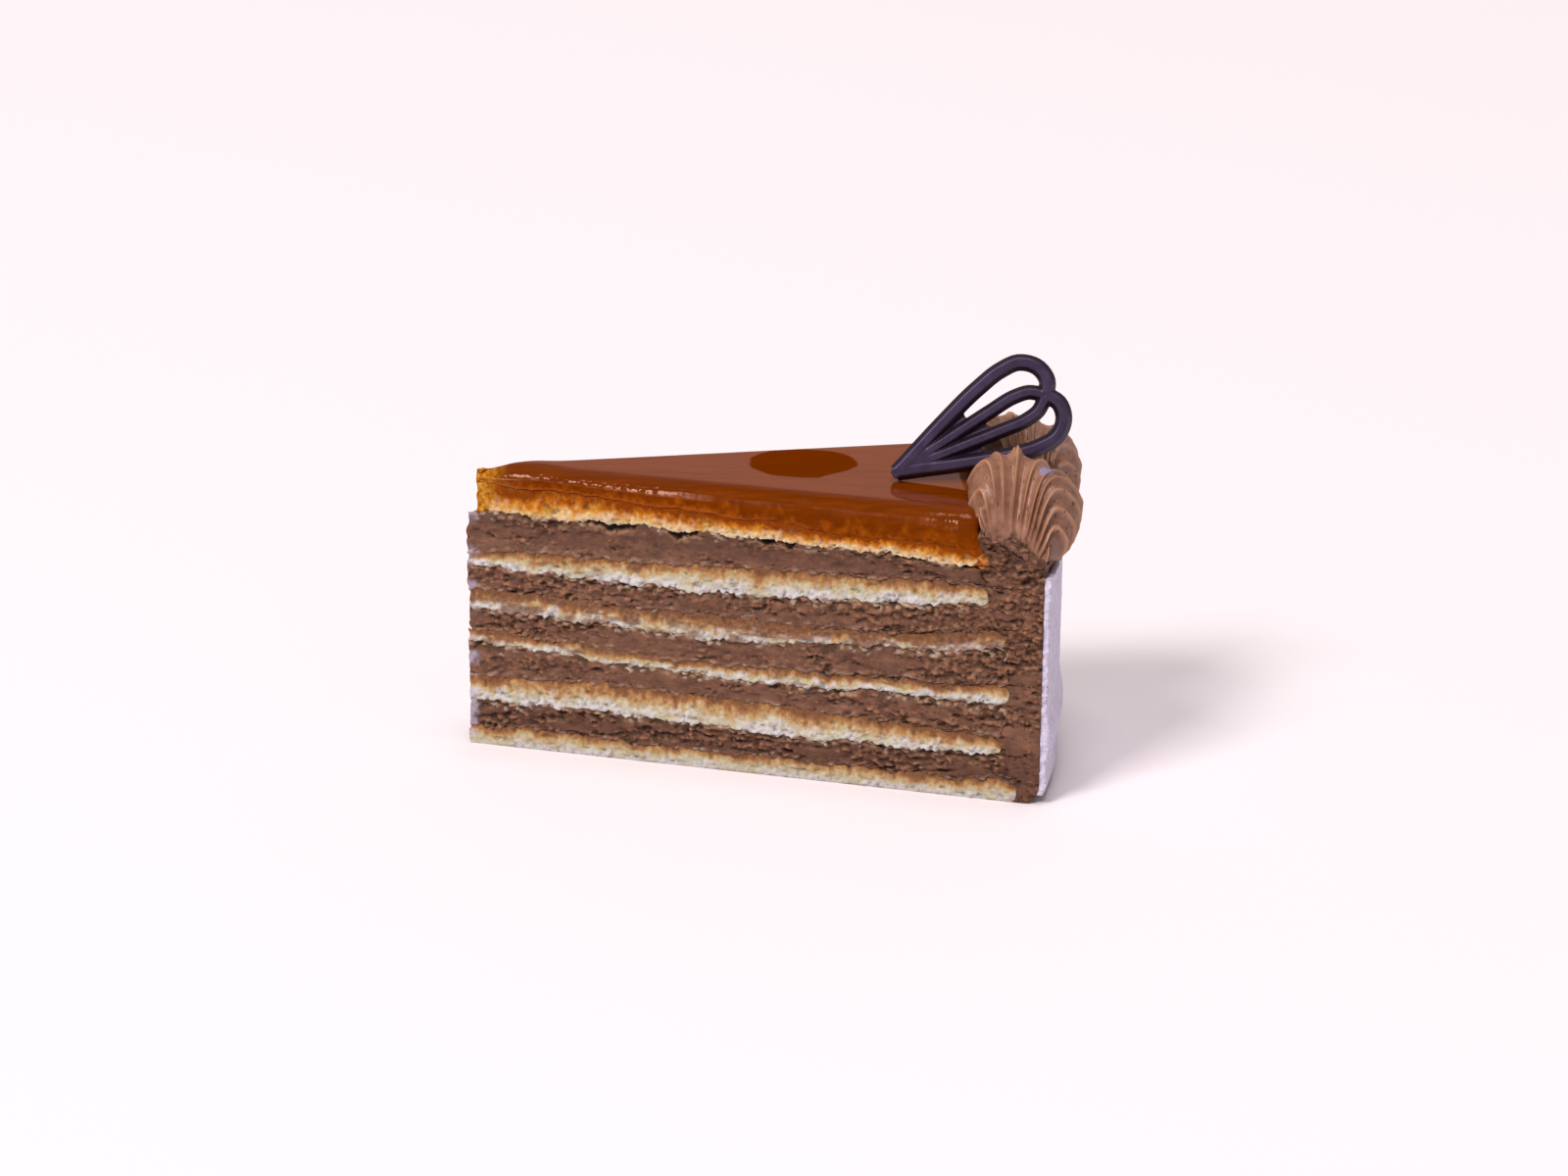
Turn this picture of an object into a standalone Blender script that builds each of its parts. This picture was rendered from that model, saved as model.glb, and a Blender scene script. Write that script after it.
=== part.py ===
"""A slice of dobos torte, standing on its base: six thin sponge discs with chocolate buttercream between
them and round the rim, a thick caramel glaze, two piped shells on the rim and a chocolate ornament.

The tip of the slice points along -X and the rim along +X. The shapes are worked out in millimetres from the
tip, and an empty then sets the whole slice over the origin."""

import math

import bmesh
import bpy
from mathutils import Matrix, Vector, noise

MM = 0.001

# Driving dimensions, in millimetres and degrees
CAKE_RADIUS = 115.0
SLICE_ANGLE = 24.0
GAP = 0.3
GLAZE_TOP = 58.5
GLAZE_END = 101.5
COAT_THICKNESS = 0.9
SHELL_WIDTH = 22.2
SHELL_TOP = 69.6
ORNAMENT_THICKNESS = 2.0

HALF_ANGLE = math.radians(SLICE_ANGLE / 2)

# Each layer from the base up: its material, the radius where it ends, and how thick it is on the cut face
# at the tip, at two places between, and near the rim
THICKNESS_RADII = (0.0, 44.0, 84.0, 109.0)
LAYERS = (
    ("sponge_1", "sponge", 111.0, (4.1, 3.6, 3.8, 4.4)),
    ("cream_1", "buttercream", 109.0, (5.4, 5.7, 5.2, 5.2)),
    ("sponge_2", "sponge", 107.5, (5.1, 6.0, 5.3, 3.9)),
    ("cream_2", "buttercream", 108.0, (7.5, 4.4, 6.0, 6.5)),
    ("sponge_3", "sponge", 109.0, (2.5, 3.0, 2.9, 4.0)),
    ("cream_3", "buttercream", 108.5, (4.8, 4.9, 6.5, 7.9)),
    ("sponge_4", "sponge", 108.0, (3.3, 4.7, 3.1, 3.6)),
    ("cream_4", "buttercream", 106.0, (5.5, 4.8, 6.1, 5.0)),
    ("sponge_5", "sponge", 104.0, (2.4, 5.3, 5.0, 3.7)),
    ("cream_5", "buttercream", 103.0, (8.4, 7.3, 4.9, 4.4)),
    ("sponge_6", "soaked_sponge", 102.0, (6.6, 4.0, 3.4, 3.0)),
)
BLUNT_TIP = 0.8
STATION_STEP = 3.0
WALL_ROWS = {"sponge": 2, "soaked_sponge": 2, "buttercream": 3}
RELIEF = {"sponge": 0.35, "soaked_sponge": 0.35, "buttercream": 0.6}
INTERFACE_WOBBLE = 0.7
RIM_TURNS = (-0.5, 0.0, 0.5)

# Buttercream round the rim: its outer profile and the sloping top that the piped shells stand on
RIM_CORNER = 4.0
SHELF_INNER_X = 102.7
SHELF_INNER_Z = 53.8
SHELF_SLOPE = -0.54
COAT_FOOT = 2.0
BULGE_HEIGHT = 14.0
BULGE_DEPTH = 0.9
BULGE_SPREAD = 3.0

# Caramel glaze: how it rounds over the cut edge, as rows of inset from the cut face and share of its height
GLAZE_ROWS = ((-0.1, 0.0), (-0.55, 0.22), (-0.5, 0.5), (0.4, 0.78), (1.9, 0.94), (4.2, 1.0))
GLAZE_TIP = 2.0
GLAZE_TIP_SAG = 1.2
GLAZE_TIP_RISE = 12.0

# Piped shells: where they stand, and how many ridges fan out of the tail
SHELL_X = 108.1
SHELL_CENTRES_Y = (-12.6, 10.4)
SHELL_TURNS = (math.radians(-9), math.radians(6))
SHELL_LENGTH = 20.2
SHELL_RIDGES = 13
RIDGE_HEIGHT = 1.0
SHELL_SWEEP = math.radians(142)
COLUMNS_PER_RIDGE = 4
SHELL_ROWS = (0.0, 0.12, 0.26, 0.42, 0.58, 0.74, 0.88, 1.0)
SHELL_WAIST = 59.6
TAIL_SPREAD = 11.0
TAIL_RISE = 0.9
FOOT_OFFSET = 1.8
FOOT_WIDTH = 15.0
FOOT_LENGTH = 18.6

# Ornament: where its tip stands and which way its face lies
ORNAMENT_TIP = (83.7, -3.0, 60.3)
ORNAMENT_ALONG = (0.877, 0.182, 0.445)
ORNAMENT_ACROSS = (-0.458, 0.336, 0.823)
OUTER_ROD = 2.4
INNER_ROD = 2.0
OUTER_CENTRELINE = (
    (0.0, 0.0), (5.0, 1.8), (12.0, 4.3), (21.6, 7.3), (26.7, 8.3), (30.7, 8.0), (33.5, 5.4), (33.9, 2.4), (32.4, 0.4)
)
INNER_CENTRELINE = ((0.0, 0.0), (12.0, 1.2), (21.0, 2.1), (27.2, 2.5), (29.5, 2.1), (32.4, 0.3))
WINDOW_START = 13.5
LEAF_START = 20.0
ORNAMENT_BEVEL = 0.35

COLOURS = {
    "sponge": ((0.62, 0.44, 0.24), 0.9),
    "soaked_sponge": ((0.55, 0.27, 0.06), 0.6),
    "buttercream": ((0.16, 0.072, 0.042), 0.55),
    "rim_coat": ((0.52, 0.45, 0.56), 0.6),
    "caramel": ((0.26, 0.065, 0.006), 0.12),
    "chocolate": ((0.03, 0.016, 0.018), 0.35),
}


def smooth_curve(knots, values, at):
    """The value at a place on the smooth curve through the given knots."""
    last = len(knots) - 1
    at = min(max(at, knots[0]), knots[-1])
    piece = next(i for i in range(last) if at <= knots[i + 1])
    slopes = []
    for knot in (piece, piece + 1):
        low, high = max(knot - 1, 0), min(knot + 1, last)
        slopes.append((values[high] - values[low]) / (knots[high] - knots[low]))
    span = knots[piece + 1] - knots[piece]
    part = (at - knots[piece]) / span
    start, end = values[piece], values[piece + 1]
    return (
        start * (2 * part**3 - 3 * part**2 + 1)
        + slopes[0] * span * (part**3 - 2 * part**2 + part)
        + end * (3 * part**2 - 2 * part**3)
        + slopes[1] * span * (part**3 - part**2)
    )


def smoothstep(low, high, value):
    part = min(max((value - low) / (high - low), 0.0), 1.0)
    return part * part * (3 - 2 * part)


def level_height(level, radius, turn):
    """Height of the boundary under the layer of that number, turn being -1 on the near cut and 1 on the far.

    It is set at both cuts, and runs straight across from one to the other."""
    if level == 0:
        return 0.0
    totals = [sum(layer[3][place] for layer in LAYERS[:level]) for place in range(len(THICKNESS_RADII))]
    cut_radius = radius * math.cos(turn * HALF_ANGLE) / math.cos(HALF_ANGLE)
    middle = smooth_curve(THICKNESS_RADII, totals, cut_radius)
    near = noise.noise(Vector((cut_radius / 9, level * 3.7, 0.5)))
    far = noise.noise(Vector((cut_radius / 9, level * 3.7, 9.5)))
    share = (math.tan(turn * HALF_ANGLE) / math.tan(HALF_ANGLE) + 1) / 2
    return middle + INTERFACE_WOBBLE * (near * (1 - share) + far * share)


def wedge_point(radius, turn, height, inset=0.0):
    """A point of the slice; on a cut face the inset is measured square to that face, elsewhere inward."""
    if abs(turn) < 1:
        angle = turn * HALF_ANGLE
        return ((radius - inset) * math.cos(angle), (radius - inset) * math.sin(angle), height)
    side = math.copysign(1, turn)
    x = radius * math.cos(HALF_ANGLE) + inset * math.sin(HALF_ANGLE)
    y = side * (radius * math.sin(HALF_ANGLE) - inset * math.cos(HALF_ANGLE))
    return (x, y, height)


def stations(start, end):
    """Radii along the cut, on one grid for every layer so that neighbours fit each other face to face."""
    grid = [STATION_STEP * i for i in range(round(CAKE_RADIUS / STATION_STEP))]
    return [start] + [radius for radius in grid if start + 1 < radius < end - 1] + [end]


def make_material(name):
    colour, roughness = COLOURS[name]
    material = bpy.data.materials.get(name) or bpy.data.materials.new(name)
    material.use_nodes = True
    material.diffuse_color = (*colour, 1)
    shader = material.node_tree.nodes["Principled BSDF"]
    shader.inputs["Base Color"].default_value = (*colour, 1)
    shader.inputs["Roughness"].default_value = roughness
    shader.inputs["Metallic"].default_value = 0.0
    return material


def add_body(name, material, points, faces):
    """A closed mesh object from points in millimetres."""
    mesh = bpy.data.meshes.new(name)
    mesh.from_pydata([[value * MM for value in point] for point in points], [], faces)
    shape = bmesh.new()
    shape.from_mesh(mesh)
    bmesh.ops.recalc_face_normals(shape, faces=shape.faces)
    shape.to_mesh(mesh)
    shape.free()
    mesh.materials.append(make_material(material))
    mesh.shade_smooth()
    mesh.set_sharp_from_angle(angle=math.radians(40))
    body = bpy.data.objects.new(name, mesh)
    bpy.context.collection.objects.link(body)
    return body


def wedge_slab(name, material, radii, rows, place):
    """A layer of the slice: a wall round the near cut, the rim end and the far cut, closed above and below.

    place gives the point for a radius, a turn and a row."""
    columns = [(radius, -1.0) for radius in radii]
    columns += [(radii[-1], turn) for turn in RIM_TURNS]
    columns += [(radius, 1.0) for radius in reversed(radii)]
    points = [place(radius, turn, row) for radius, turn in columns for row in range(rows + 1)]
    total = len(columns)
    height = rows + 1
    faces = []
    for column in range(total):
        following = (column + 1) % total
        for row in range(rows):
            low, beside = column * height + row, following * height + row
            faces.append((low, beside, beside + 1, low + 1))
    for row in (0, rows):
        for rung in range(len(radii) - 1):
            near, far = rung, total - 1 - rung
            for corners in ((near, near + 1, far), (near + 1, far - 1, far)):
                faces.append([corner * height + row for corner in corners])
        rim = range(len(radii) - 1, len(radii) + len(RIM_TURNS) + 1)
        faces.append([corner * height + row for corner in rim])
    return add_body(name, material, points, faces)


def build_layer(level):
    """One sponge or buttercream layer, whose cut faces have a low crumbly relief."""
    name, material, end, _ = LAYERS[level]
    rows = WALL_ROWS[material]
    start = BLUNT_TIP + 0.5 * noise.noise(Vector((level * 5.3, 2.0, 0.0)))

    def place(radius, turn, row):
        low = level_height(level, radius, turn) + (GAP / 2 if level else 0.0)
        high = level_height(level + 1, radius, turn) - GAP / 2
        height = low + (high - low) * row / rows
        inset = 0.0
        if abs(turn) == 1:
            rough = noise.noise(Vector((radius / 3.5, height / 2.0, 11.0 * turn)))
            inset = RELIEF[material] * (rough + 0.2) * smoothstep(start, start + 8, radius)
        return wedge_point(radius, turn, height, inset)

    return wedge_slab(name, material, stations(start, end - GAP / 2), rows, place)


def build_glaze():
    """The caramel: level on top, rounded over the cut edges, thin at the tip, sloping under the shells."""

    def place(radius, turn, row):
        inset, share = GLAZE_ROWS[row]
        low = level_height(len(LAYERS), radius, turn) + GAP / 2
        sag = GLAZE_TIP_SAG * (1 - smoothstep(GLAZE_TIP, GLAZE_TIP + GLAZE_TIP_RISE, radius))
        height = low + (GLAZE_TOP - sag - low) * share
        if abs(turn) < 1:
            inset = 0.0
        reach = 0.6 * radius * math.sin(HALF_ANGLE)
        return wedge_point(radius, turn, height, min(inset, reach))

    return wedge_slab("caramel_glaze", "caramel", stations(GLAZE_TIP, GLAZE_END), len(GLAZE_ROWS) - 1, place)


def swept_section(name, material, section):
    """A body swept round the rim between the cut faces; section gives the closed outline at a turn."""
    turns = (-1.0, *RIM_TURNS, 1.0)
    points = []
    for turn in turns:
        angle = turn * HALF_ANGLE
        outline = section(turn)
        points += [(radius * math.cos(angle), radius * math.sin(angle), height) for radius, height in outline]
    count = len(points) // len(turns)
    faces = [list(range(count)), list(range(len(points) - count, len(points)))]
    for strip in range(len(turns) - 1):
        for spot in range(count):
            low, following = strip * count + spot, strip * count + (spot + 1) % count
            faces.append((low, following, following + count, low + count))
    return add_body(name, material, points, faces)


def rim_radius(height):
    """Outer radius of the buttercream, which rounds in at the bottom corner."""
    if height >= RIM_CORNER:
        return CAKE_RADIUS
    drop = 1 - height / RIM_CORNER
    return CAKE_RADIUS - RIM_CORNER * (1 - math.sqrt(max(1 - drop * drop, 0.0))) * 0.75


def shelf_height(x):
    """The slope that the shells stand on."""
    return SHELF_INNER_Z + SHELF_SLOPE * (x - SHELF_INNER_X)


def build_rim_cream():
    """Buttercream between the layers' ends and the rim; its inner side steps with the layers."""

    def section(turn):
        cosine = math.cos(turn * HALF_ANGLE)
        outline = [(rim_radius(height), height) for height in (0.0, 0.6, 1.4, 2.6, RIM_CORNER)]
        outline += [(CAKE_RADIUS, height) for height in (15.0, 26.0, 37.0)]
        outer_top = shelf_height(CAKE_RADIUS * cosine) - GAP
        outline += [(CAKE_RADIUS, outer_top - 1.2), (CAKE_RADIUS - 1.0, outer_top + 0.2)]
        ends = [layer[2] for layer in LAYERS] + [GLAZE_END]
        inner = ends[-1] + GAP / 2
        outline.append((inner, shelf_height(inner * cosine) - GAP))
        for level in range(len(ends) - 1, 0, -1):
            upper, lower = ends[level], ends[level - 1]
            offset = GAP / 2 if upper < lower else -GAP / 2
            boundary = level_height(level, min(upper, lower), turn) + offset
            outline.append((upper + GAP / 2, boundary))
            outline.append((lower + GAP / 2, boundary))
        outline.append((ends[0] + GAP / 2, 0.0))
        return outline

    return swept_section("rim_cream", "buttercream", section)


def build_rim_coat():
    """The thin pale coat outside the buttercream, with a swelling low on it."""

    def outer(height):
        swelling = BULGE_DEPTH * math.exp(-(((height - BULGE_HEIGHT) / BULGE_SPREAD) ** 2))
        return rim_radius(height) + GAP + COAT_THICKNESS + swelling

    def section(turn):
        top = shelf_height((CAKE_RADIUS + 2) * math.cos(turn * HALF_ANGLE)) - GAP - 1.0
        heights = [COAT_FOOT, 3.2, 5.0, 8.0, 11.0, BULGE_HEIGHT, 17.0, 20.0, 28.0, 37.0, top]
        outline = [(outer(height), height) for height in heights]
        outline += [(rim_radius(height) + GAP, height) for height in reversed(heights)]
        return outline

    return swept_section("rim_coat", "rim_coat", section)


def ridge(u):
    """Height share of the ridges across the fan: sharp crests with hollow grooves between them."""
    place = (u + 1) / 2 * SHELL_RIDGES
    distance = abs(place - math.floor(place) - 0.5)
    return (2 * distance) ** 2


def shell_point(u, v):
    """A point of a piped shell round its own centre.

    u runs from the left end of the fan to the right, v from the tail over the crest to the widest line."""
    half_width, half_length = SHELL_WIDTH / 2 - RIDGE_HEIGHT / 2, SHELL_LENGTH / 2
    sweep = SHELL_SWEEP * u
    tail = Vector((TAIL_SPREAD / 2 * u, -half_length))
    rim = Vector((half_width * math.sin(sweep), half_length * math.cos(sweep)))
    bend = tail + Vector((0.15 * half_width * u, 0.95 * half_length * (1.25 - abs(u))))
    plan = tail * (1 - v) ** 2 + bend * 2 * v * (1 - v) + rim * v * v
    front = smoothstep(0.5, 1.0, abs(u))
    lean = rim.x / half_width
    edge = SHELL_WAIST - 1.6 * lean - front * (1.2 + 5.8 * max(u, 0.0))
    crown = (SHELL_TOP - SHELL_WAIST) * (1 - 0.66 * front)
    start = shelf_height(SHELL_X + tail.x) + TAIL_RISE
    height = start + (edge - start) * smoothstep(0.0, 1.0, v)
    height += crown * math.sin(math.pi * min(v**0.85, 1.0)) ** 0.8
    raised = RIDGE_HEIGHT * ridge(u) * smoothstep(0.02, 0.3, v)
    outward = Vector((plan.x, plan.y, height - 57.0)).normalized()
    return Vector((plan.x, plan.y, height)) + outward * raised


def build_shell(name, centre_y, turn):
    """A piped shell of buttercream: ridges fan from the tail and turn under all round."""
    centre = Vector((SHELL_X, centre_y))
    turned = Matrix.Rotation(turn, 2)
    columns = SHELL_RIDGES * COLUMNS_PER_RIDGE
    points = []
    rows = len(SHELL_ROWS) + 2
    for column in range(columns + 1):
        u = 2 * column / columns - 1
        for v in SHELL_ROWS:
            point = shell_point(u, v)
            points.append((*(centre + turned @ point.xy), point.z))
        across, along = math.sin(SHELL_SWEEP * u), math.cos(SHELL_SWEEP * u)
        foot = centre + turned @ Vector((FOOT_OFFSET + FOOT_WIDTH / 2 * across, FOOT_LENGTH / 2 * along))
        foot_z = shelf_height(foot.x)
        neck_z = min(GLAZE_TOP + 0.5 - 0.6 * (foot.x - SHELF_INNER_X), point.z - 0.8)
        points.append((*foot, max(neck_z, foot_z + 0.4)))
        points.append((*foot, foot_z))
    faces = []
    for column in range(columns):
        first, second = column * rows, (column + 1) * rows
        for row in range(rows - 1):
            faces.append((first + row, first + row + 1, second + row + 1, second + row))
    tail = [column * rows for column in reversed(range(1, columns))]
    right = [columns * rows + row for row in reversed(range(rows))]
    faces.append([*range(rows), *right, *tail])
    faces.append([column * rows + rows - 1 for column in range(columns + 1)])
    return add_body(name, "buttercream", points, faces)


def line_points(centreline, start, count):
    """Points along the smooth line through a centreline, from a distance along it to its end."""
    travelled = [0.0]
    for before, after in zip(centreline, centreline[1:]):
        travelled.append(travelled[-1] + math.dist(before, after))
    along = [point[0] for point in centreline]
    across = [point[1] for point in centreline]
    places = [start + (travelled[-1] - start) * i / (count - 1) for i in range(count)]
    return [Vector((smooth_curve(travelled, along, s), smooth_curve(travelled, across, s))) for s in places]


def offset_line(line, distance):
    """The line moved sideways, to its left if the distance is positive."""
    moved = []
    for i, point in enumerate(line):
        direction = (line[min(i + 1, len(line) - 1)] - line[max(i - 1, 0)]).normalized()
        moved.append(point + Vector((-direction.y, direction.x)) * distance)
    return moved


def mirrored(line):
    return [Vector((point.x, -point.y)) for point in line]


def ornament_outlines():
    """Closed outlines of the ornament on its own plane: the rim of the heart, then its three windows."""
    whole = offset_line(line_points(OUTER_CENTRELINE, 0.0, 26), OUTER_ROD / 2)
    half = [point for point in whole if point.y > 0.25]
    turned = [math.radians(angle) for angle in (130, 155, 180, 205, 230)]
    nose = [Vector((OUTER_ROD / 2 * math.cos(a), OUTER_ROD / 2 * math.sin(a))) for a in turned]
    rim = nose + mirrored(half) + list(reversed(half))
    outer = offset_line(line_points(OUTER_CENTRELINE, WINDOW_START, 18), -OUTER_ROD / 2)
    inner = offset_line(line_points(INNER_CENTRELINE, WINDOW_START, 14), INNER_ROD / 2)
    window = outer[:-2] + list(reversed(inner[:-2]))
    leaf_side = offset_line(line_points(INNER_CENTRELINE, LEAF_START, 10), -INNER_ROD / 2)
    leaf_side = [point for point in leaf_side if point.y > 0.15]
    leaf = leaf_side + list(reversed(mirrored(leaf_side)))
    return [rim, window, mirrored(window), leaf]


def build_ornament():
    """The chocolate ornament: a slender heart of moulded rods, its tip on the glaze."""
    curve = bpy.data.curves.new("chocolate_ornament", "CURVE")
    curve.dimensions = "2D"
    curve.fill_mode = "BOTH"
    curve.extrude = (ORNAMENT_THICKNESS / 2 - ORNAMENT_BEVEL) * MM
    curve.bevel_depth = ORNAMENT_BEVEL * MM
    curve.bevel_resolution = 1
    curve.offset = -ORNAMENT_BEVEL * MM
    for outline in ornament_outlines():
        spline = curve.splines.new("POLY")
        spline.points.add(len(outline) - 1)
        for spot, point in zip(spline.points, outline):
            spot.co = (point.x * MM, point.y * MM, 0, 1)
        spline.use_cyclic_u = True
    curve.materials.append(make_material("chocolate"))
    ornament = bpy.data.objects.new("chocolate_ornament", curve)
    bpy.context.collection.objects.link(ornament)
    along = Vector(ORNAMENT_ALONG).normalized()
    facing = along.cross(Vector(ORNAMENT_ACROSS)).normalized()
    across = facing.cross(along)
    turned = Matrix((along, across, facing)).transposed().to_4x4()
    ornament.matrix_world = Matrix.Translation(Vector(ORNAMENT_TIP) * MM) @ turned
    return ornament


def centre_on_origin(bodies):
    """Parents the bodies to an empty that brings the middle of the slice's box over the origin."""
    bpy.context.view_layer.update()
    depsgraph = bpy.context.evaluated_depsgraph_get()
    corners = []
    for body in bodies:
        mesh = body.evaluated_get(depsgraph).to_mesh()
        corners += [body.matrix_world @ vertex.co for vertex in mesh.vertices]
    middle = [(min(c[axis] for c in corners) + max(c[axis] for c in corners)) / 2 for axis in range(2)]
    anchor = bpy.data.objects.new("slice", None)
    bpy.context.collection.objects.link(anchor)
    anchor.location = (-middle[0], -middle[1], 0)
    for body in bodies:
        body.parent = anchor


def main():
    for old in list(bpy.data.objects):
        bpy.data.objects.remove(old)
    bodies = [build_layer(level) for level in range(len(LAYERS))]
    bodies += [build_glaze(), build_rim_cream(), build_rim_coat()]
    for name, centre_y, turn in zip(("shell_near", "shell_far"), SHELL_CENTRES_Y, SHELL_TURNS):
        bodies.append(build_shell(name, centre_y, turn))
    bodies.append(build_ornament())
    centre_on_origin(bodies)


main()
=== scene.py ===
"""The looks of a slice of dobos torte: crumb, buttercream, caramel, piped shells and a chocolate ornament,
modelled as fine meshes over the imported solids."""

import math

import bmesh
import bpy
import numpy as np
from mathutils import Matrix, Vector


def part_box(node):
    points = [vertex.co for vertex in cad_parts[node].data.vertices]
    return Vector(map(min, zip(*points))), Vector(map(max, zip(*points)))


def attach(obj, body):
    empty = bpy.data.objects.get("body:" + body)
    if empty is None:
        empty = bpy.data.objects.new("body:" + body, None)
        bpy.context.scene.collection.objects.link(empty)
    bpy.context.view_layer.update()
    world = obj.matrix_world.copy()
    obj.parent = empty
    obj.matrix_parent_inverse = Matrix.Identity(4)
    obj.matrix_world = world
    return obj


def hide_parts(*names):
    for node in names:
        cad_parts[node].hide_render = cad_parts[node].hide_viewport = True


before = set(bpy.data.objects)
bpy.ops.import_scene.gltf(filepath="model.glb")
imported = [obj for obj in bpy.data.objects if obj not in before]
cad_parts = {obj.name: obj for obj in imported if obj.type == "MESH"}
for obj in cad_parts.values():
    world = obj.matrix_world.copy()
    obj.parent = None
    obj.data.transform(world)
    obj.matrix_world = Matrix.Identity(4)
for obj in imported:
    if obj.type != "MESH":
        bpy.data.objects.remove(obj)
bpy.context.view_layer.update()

MM = 0.001

# The wedge, as the solids have it, in millimetres from its tip
CAKE_RADIUS = 115.0
HALF_ANGLE = math.radians(12)
TIP_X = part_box("rim_cream")[1].x / MM - CAKE_RADIUS
COS_HALF, SIN_HALF = math.cos(HALF_ANGLE), math.sin(HALF_ANGLE)
SPONGES = [f"sponge_{i}" for i in range(1, 7)]
CREAMS = [f"cream_{i}" for i in range(1, 6)]
TOP_SPONGE, TOP_CREAM = SPONGES[-1], CREAMS[-1]
LAYERS = [name for pair in zip(SPONGES, CREAMS) for name in pair] + [TOP_SPONGE]
TOP_LEVEL = len(LAYERS)
NEAR, FAR = -1, 1
GAP = 0.3

# Fineness of the meshes
CELL, LEAST_ROWS = 0.27, 8
COLUMNS, ACROSS = 400, 6
GLAZE_COLUMNS, GLAZE_EDGE_ROWS, GLAZE_TOP_ROWS = 560, 30, 64
RIM_TURNS, RIM_COLUMNS, RIM_ROWS = 24, 52, 190
COAT_TURNS, COAT_ROWS = 150, 150
SHELL_COLUMNS, SHELL_ROWS, SHELL_BACK_COLUMNS = 300, 84, 40
OUTER_COUNT, INNER_COUNT = 60, 50
ORNAMENT_VOXEL = 0.15

# From the base up, at four places along the cut: how torn each buttercream layer is,
# how browned each sponge is, and how much buttercream is smeared on it
PLACES = (0.0, 44.0, 84.0, 109.0)
TORN = (
    (0.8, 0.5, 0.8, 0.6),
    (0.8, -0.3, 0.4, 0.75),
    (0.6, -0.1, 0.45, 1.1),
    (0.6, 0.4, 0.9, 0.95),
    (0.3, -0.05, 0.4, 0.6),
)
BROWNED = (
    (-0.1, -0.08, 0.0, 0.0),
    (0.02, 0.08, 0.04, 0.06),
    (0.16, 0.12, 0.14, 0.1),
    (0.2, 0.16, 0.3, 0.3),
    (0.0, -0.06, -0.04, 0.02),
    (0.2, 0.24, 0.14, 0.12),
)
SMEARED = (
    (0.2, 0.25, 0.3, 0.22),
    (0.1, 0.15, 0.14, 0.2),
    (0.5, 0.4, 0.3, 0.32),
    (0.68, 0.5, 0.58, 0.62),
    (0.5, 0.24, 0.16, 0.22),
    (0.0, 0.0, 0.0, 0.0),
)

# How far the lowest sponge is darkened, and the heights between which the buttercream turns darker
BASE_DIM = 0.1
DARK_ABOVE, DARK_BELOW = (43.0, 48.0), (12.0, 9.0)

# The caramel, which sags at the tip and slumps at its end by the rim
GLAZE_TOP = 58.5
GLAZE_START, GLAZE_END = 2.0, 102.3
GLAZE_TIP_SAG, GLAZE_TIP_FLAT, GLAZE_TIP_RISE = 0.8, 4.0, 10.0
GLAZE_SLUMP, GLAZE_SLUMP_DEPTH = 4.0, 2.2
HUMP_RADIUS, HUMP_WIDTH, HUMP_HEIGHT = 13.0, 4.0, 0.35

# Its edges from the lip upward, as distance in from the cut and share of the thickness
NEAR_ROUNDING = (
    (-0.05, 0.0), (-0.4, 0.18), (-0.35, 0.44), (0.12, 0.6),
    (0.78, 0.76), (2.2, 0.92), (4.1, 0.992), (7.0, 1.0),
)
FAR_ROUNDING = (
    (-0.05, 0.0), (-0.3, 0.25), (-0.3, 0.6), (-0.22, 0.84),
    (-0.1, 0.95), (0.15, 0.99), (1.2, 1.0), (2.4, 1.0),
)

# Radii between which its marks fade: rippled toward the tip and the end, calm between, a lip and a
# painted highlight line along its lower edge toward the tip, and a crumbly rind at the tip
RIPPLED_TIP, RIPPLED_END = (58.0, 34.0), (86.0, 94.0)
CALM_START, CALM_END = (36.0, 50.0), (93.0, 88.0)
LIP_FADE, LIP_HIGHLIGHT_FADE, RIND_FADE = (66.0, 50.0), (72.0, 52.0), (8.5, 3.4)
PATCH_CENTRE, PATCH_HALF = (65.6, 5.4), (11.0, 8.0)

# Openings under the caramel, painted near-black as shade, as radius and half length, and a lump of caramel
# beside the rim
OPENINGS = ((30.5, 3.6), (42.5, 2.0), (60.5, 1.8), (65.0, 1.2), (99.4, 0.8))
LUMP_RADIUS, LUMP_HEIGHT = 102.5, 49.2

# Height of the torn buttercream above the shelf along the near cut, from the layers' ends to the rim
RAISED_PLACES = (0.0, 0.1, 0.4, 0.62, 0.75, 1.0)
RAISED = (0.3, 0.3, 2.0, 3.2, 3.0, 3.0)

# The shelf that the shells stand on, and the rim with its coat
SHELF_INNER_X, SHELF_INNER_Z, SHELF_SLOPE = 102.7, 53.8, -0.54
RIM_CORNER = 4.0
COAT_THICKNESS, COAT_FOOT = 0.9, 2.0
BULGE_HEIGHT, BULGE_DEPTH, BULGE_SPREAD = 14.0, 0.9, 3.0
RIM_HEIGHTS = (0.0, 7.0, 14.0, 20.0, 30.0, 44.0, 54.0)
RIM_TORN = (0.35, 0.45, 0.25, 0.5, 0.95, 0.9, 0.75)

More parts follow.
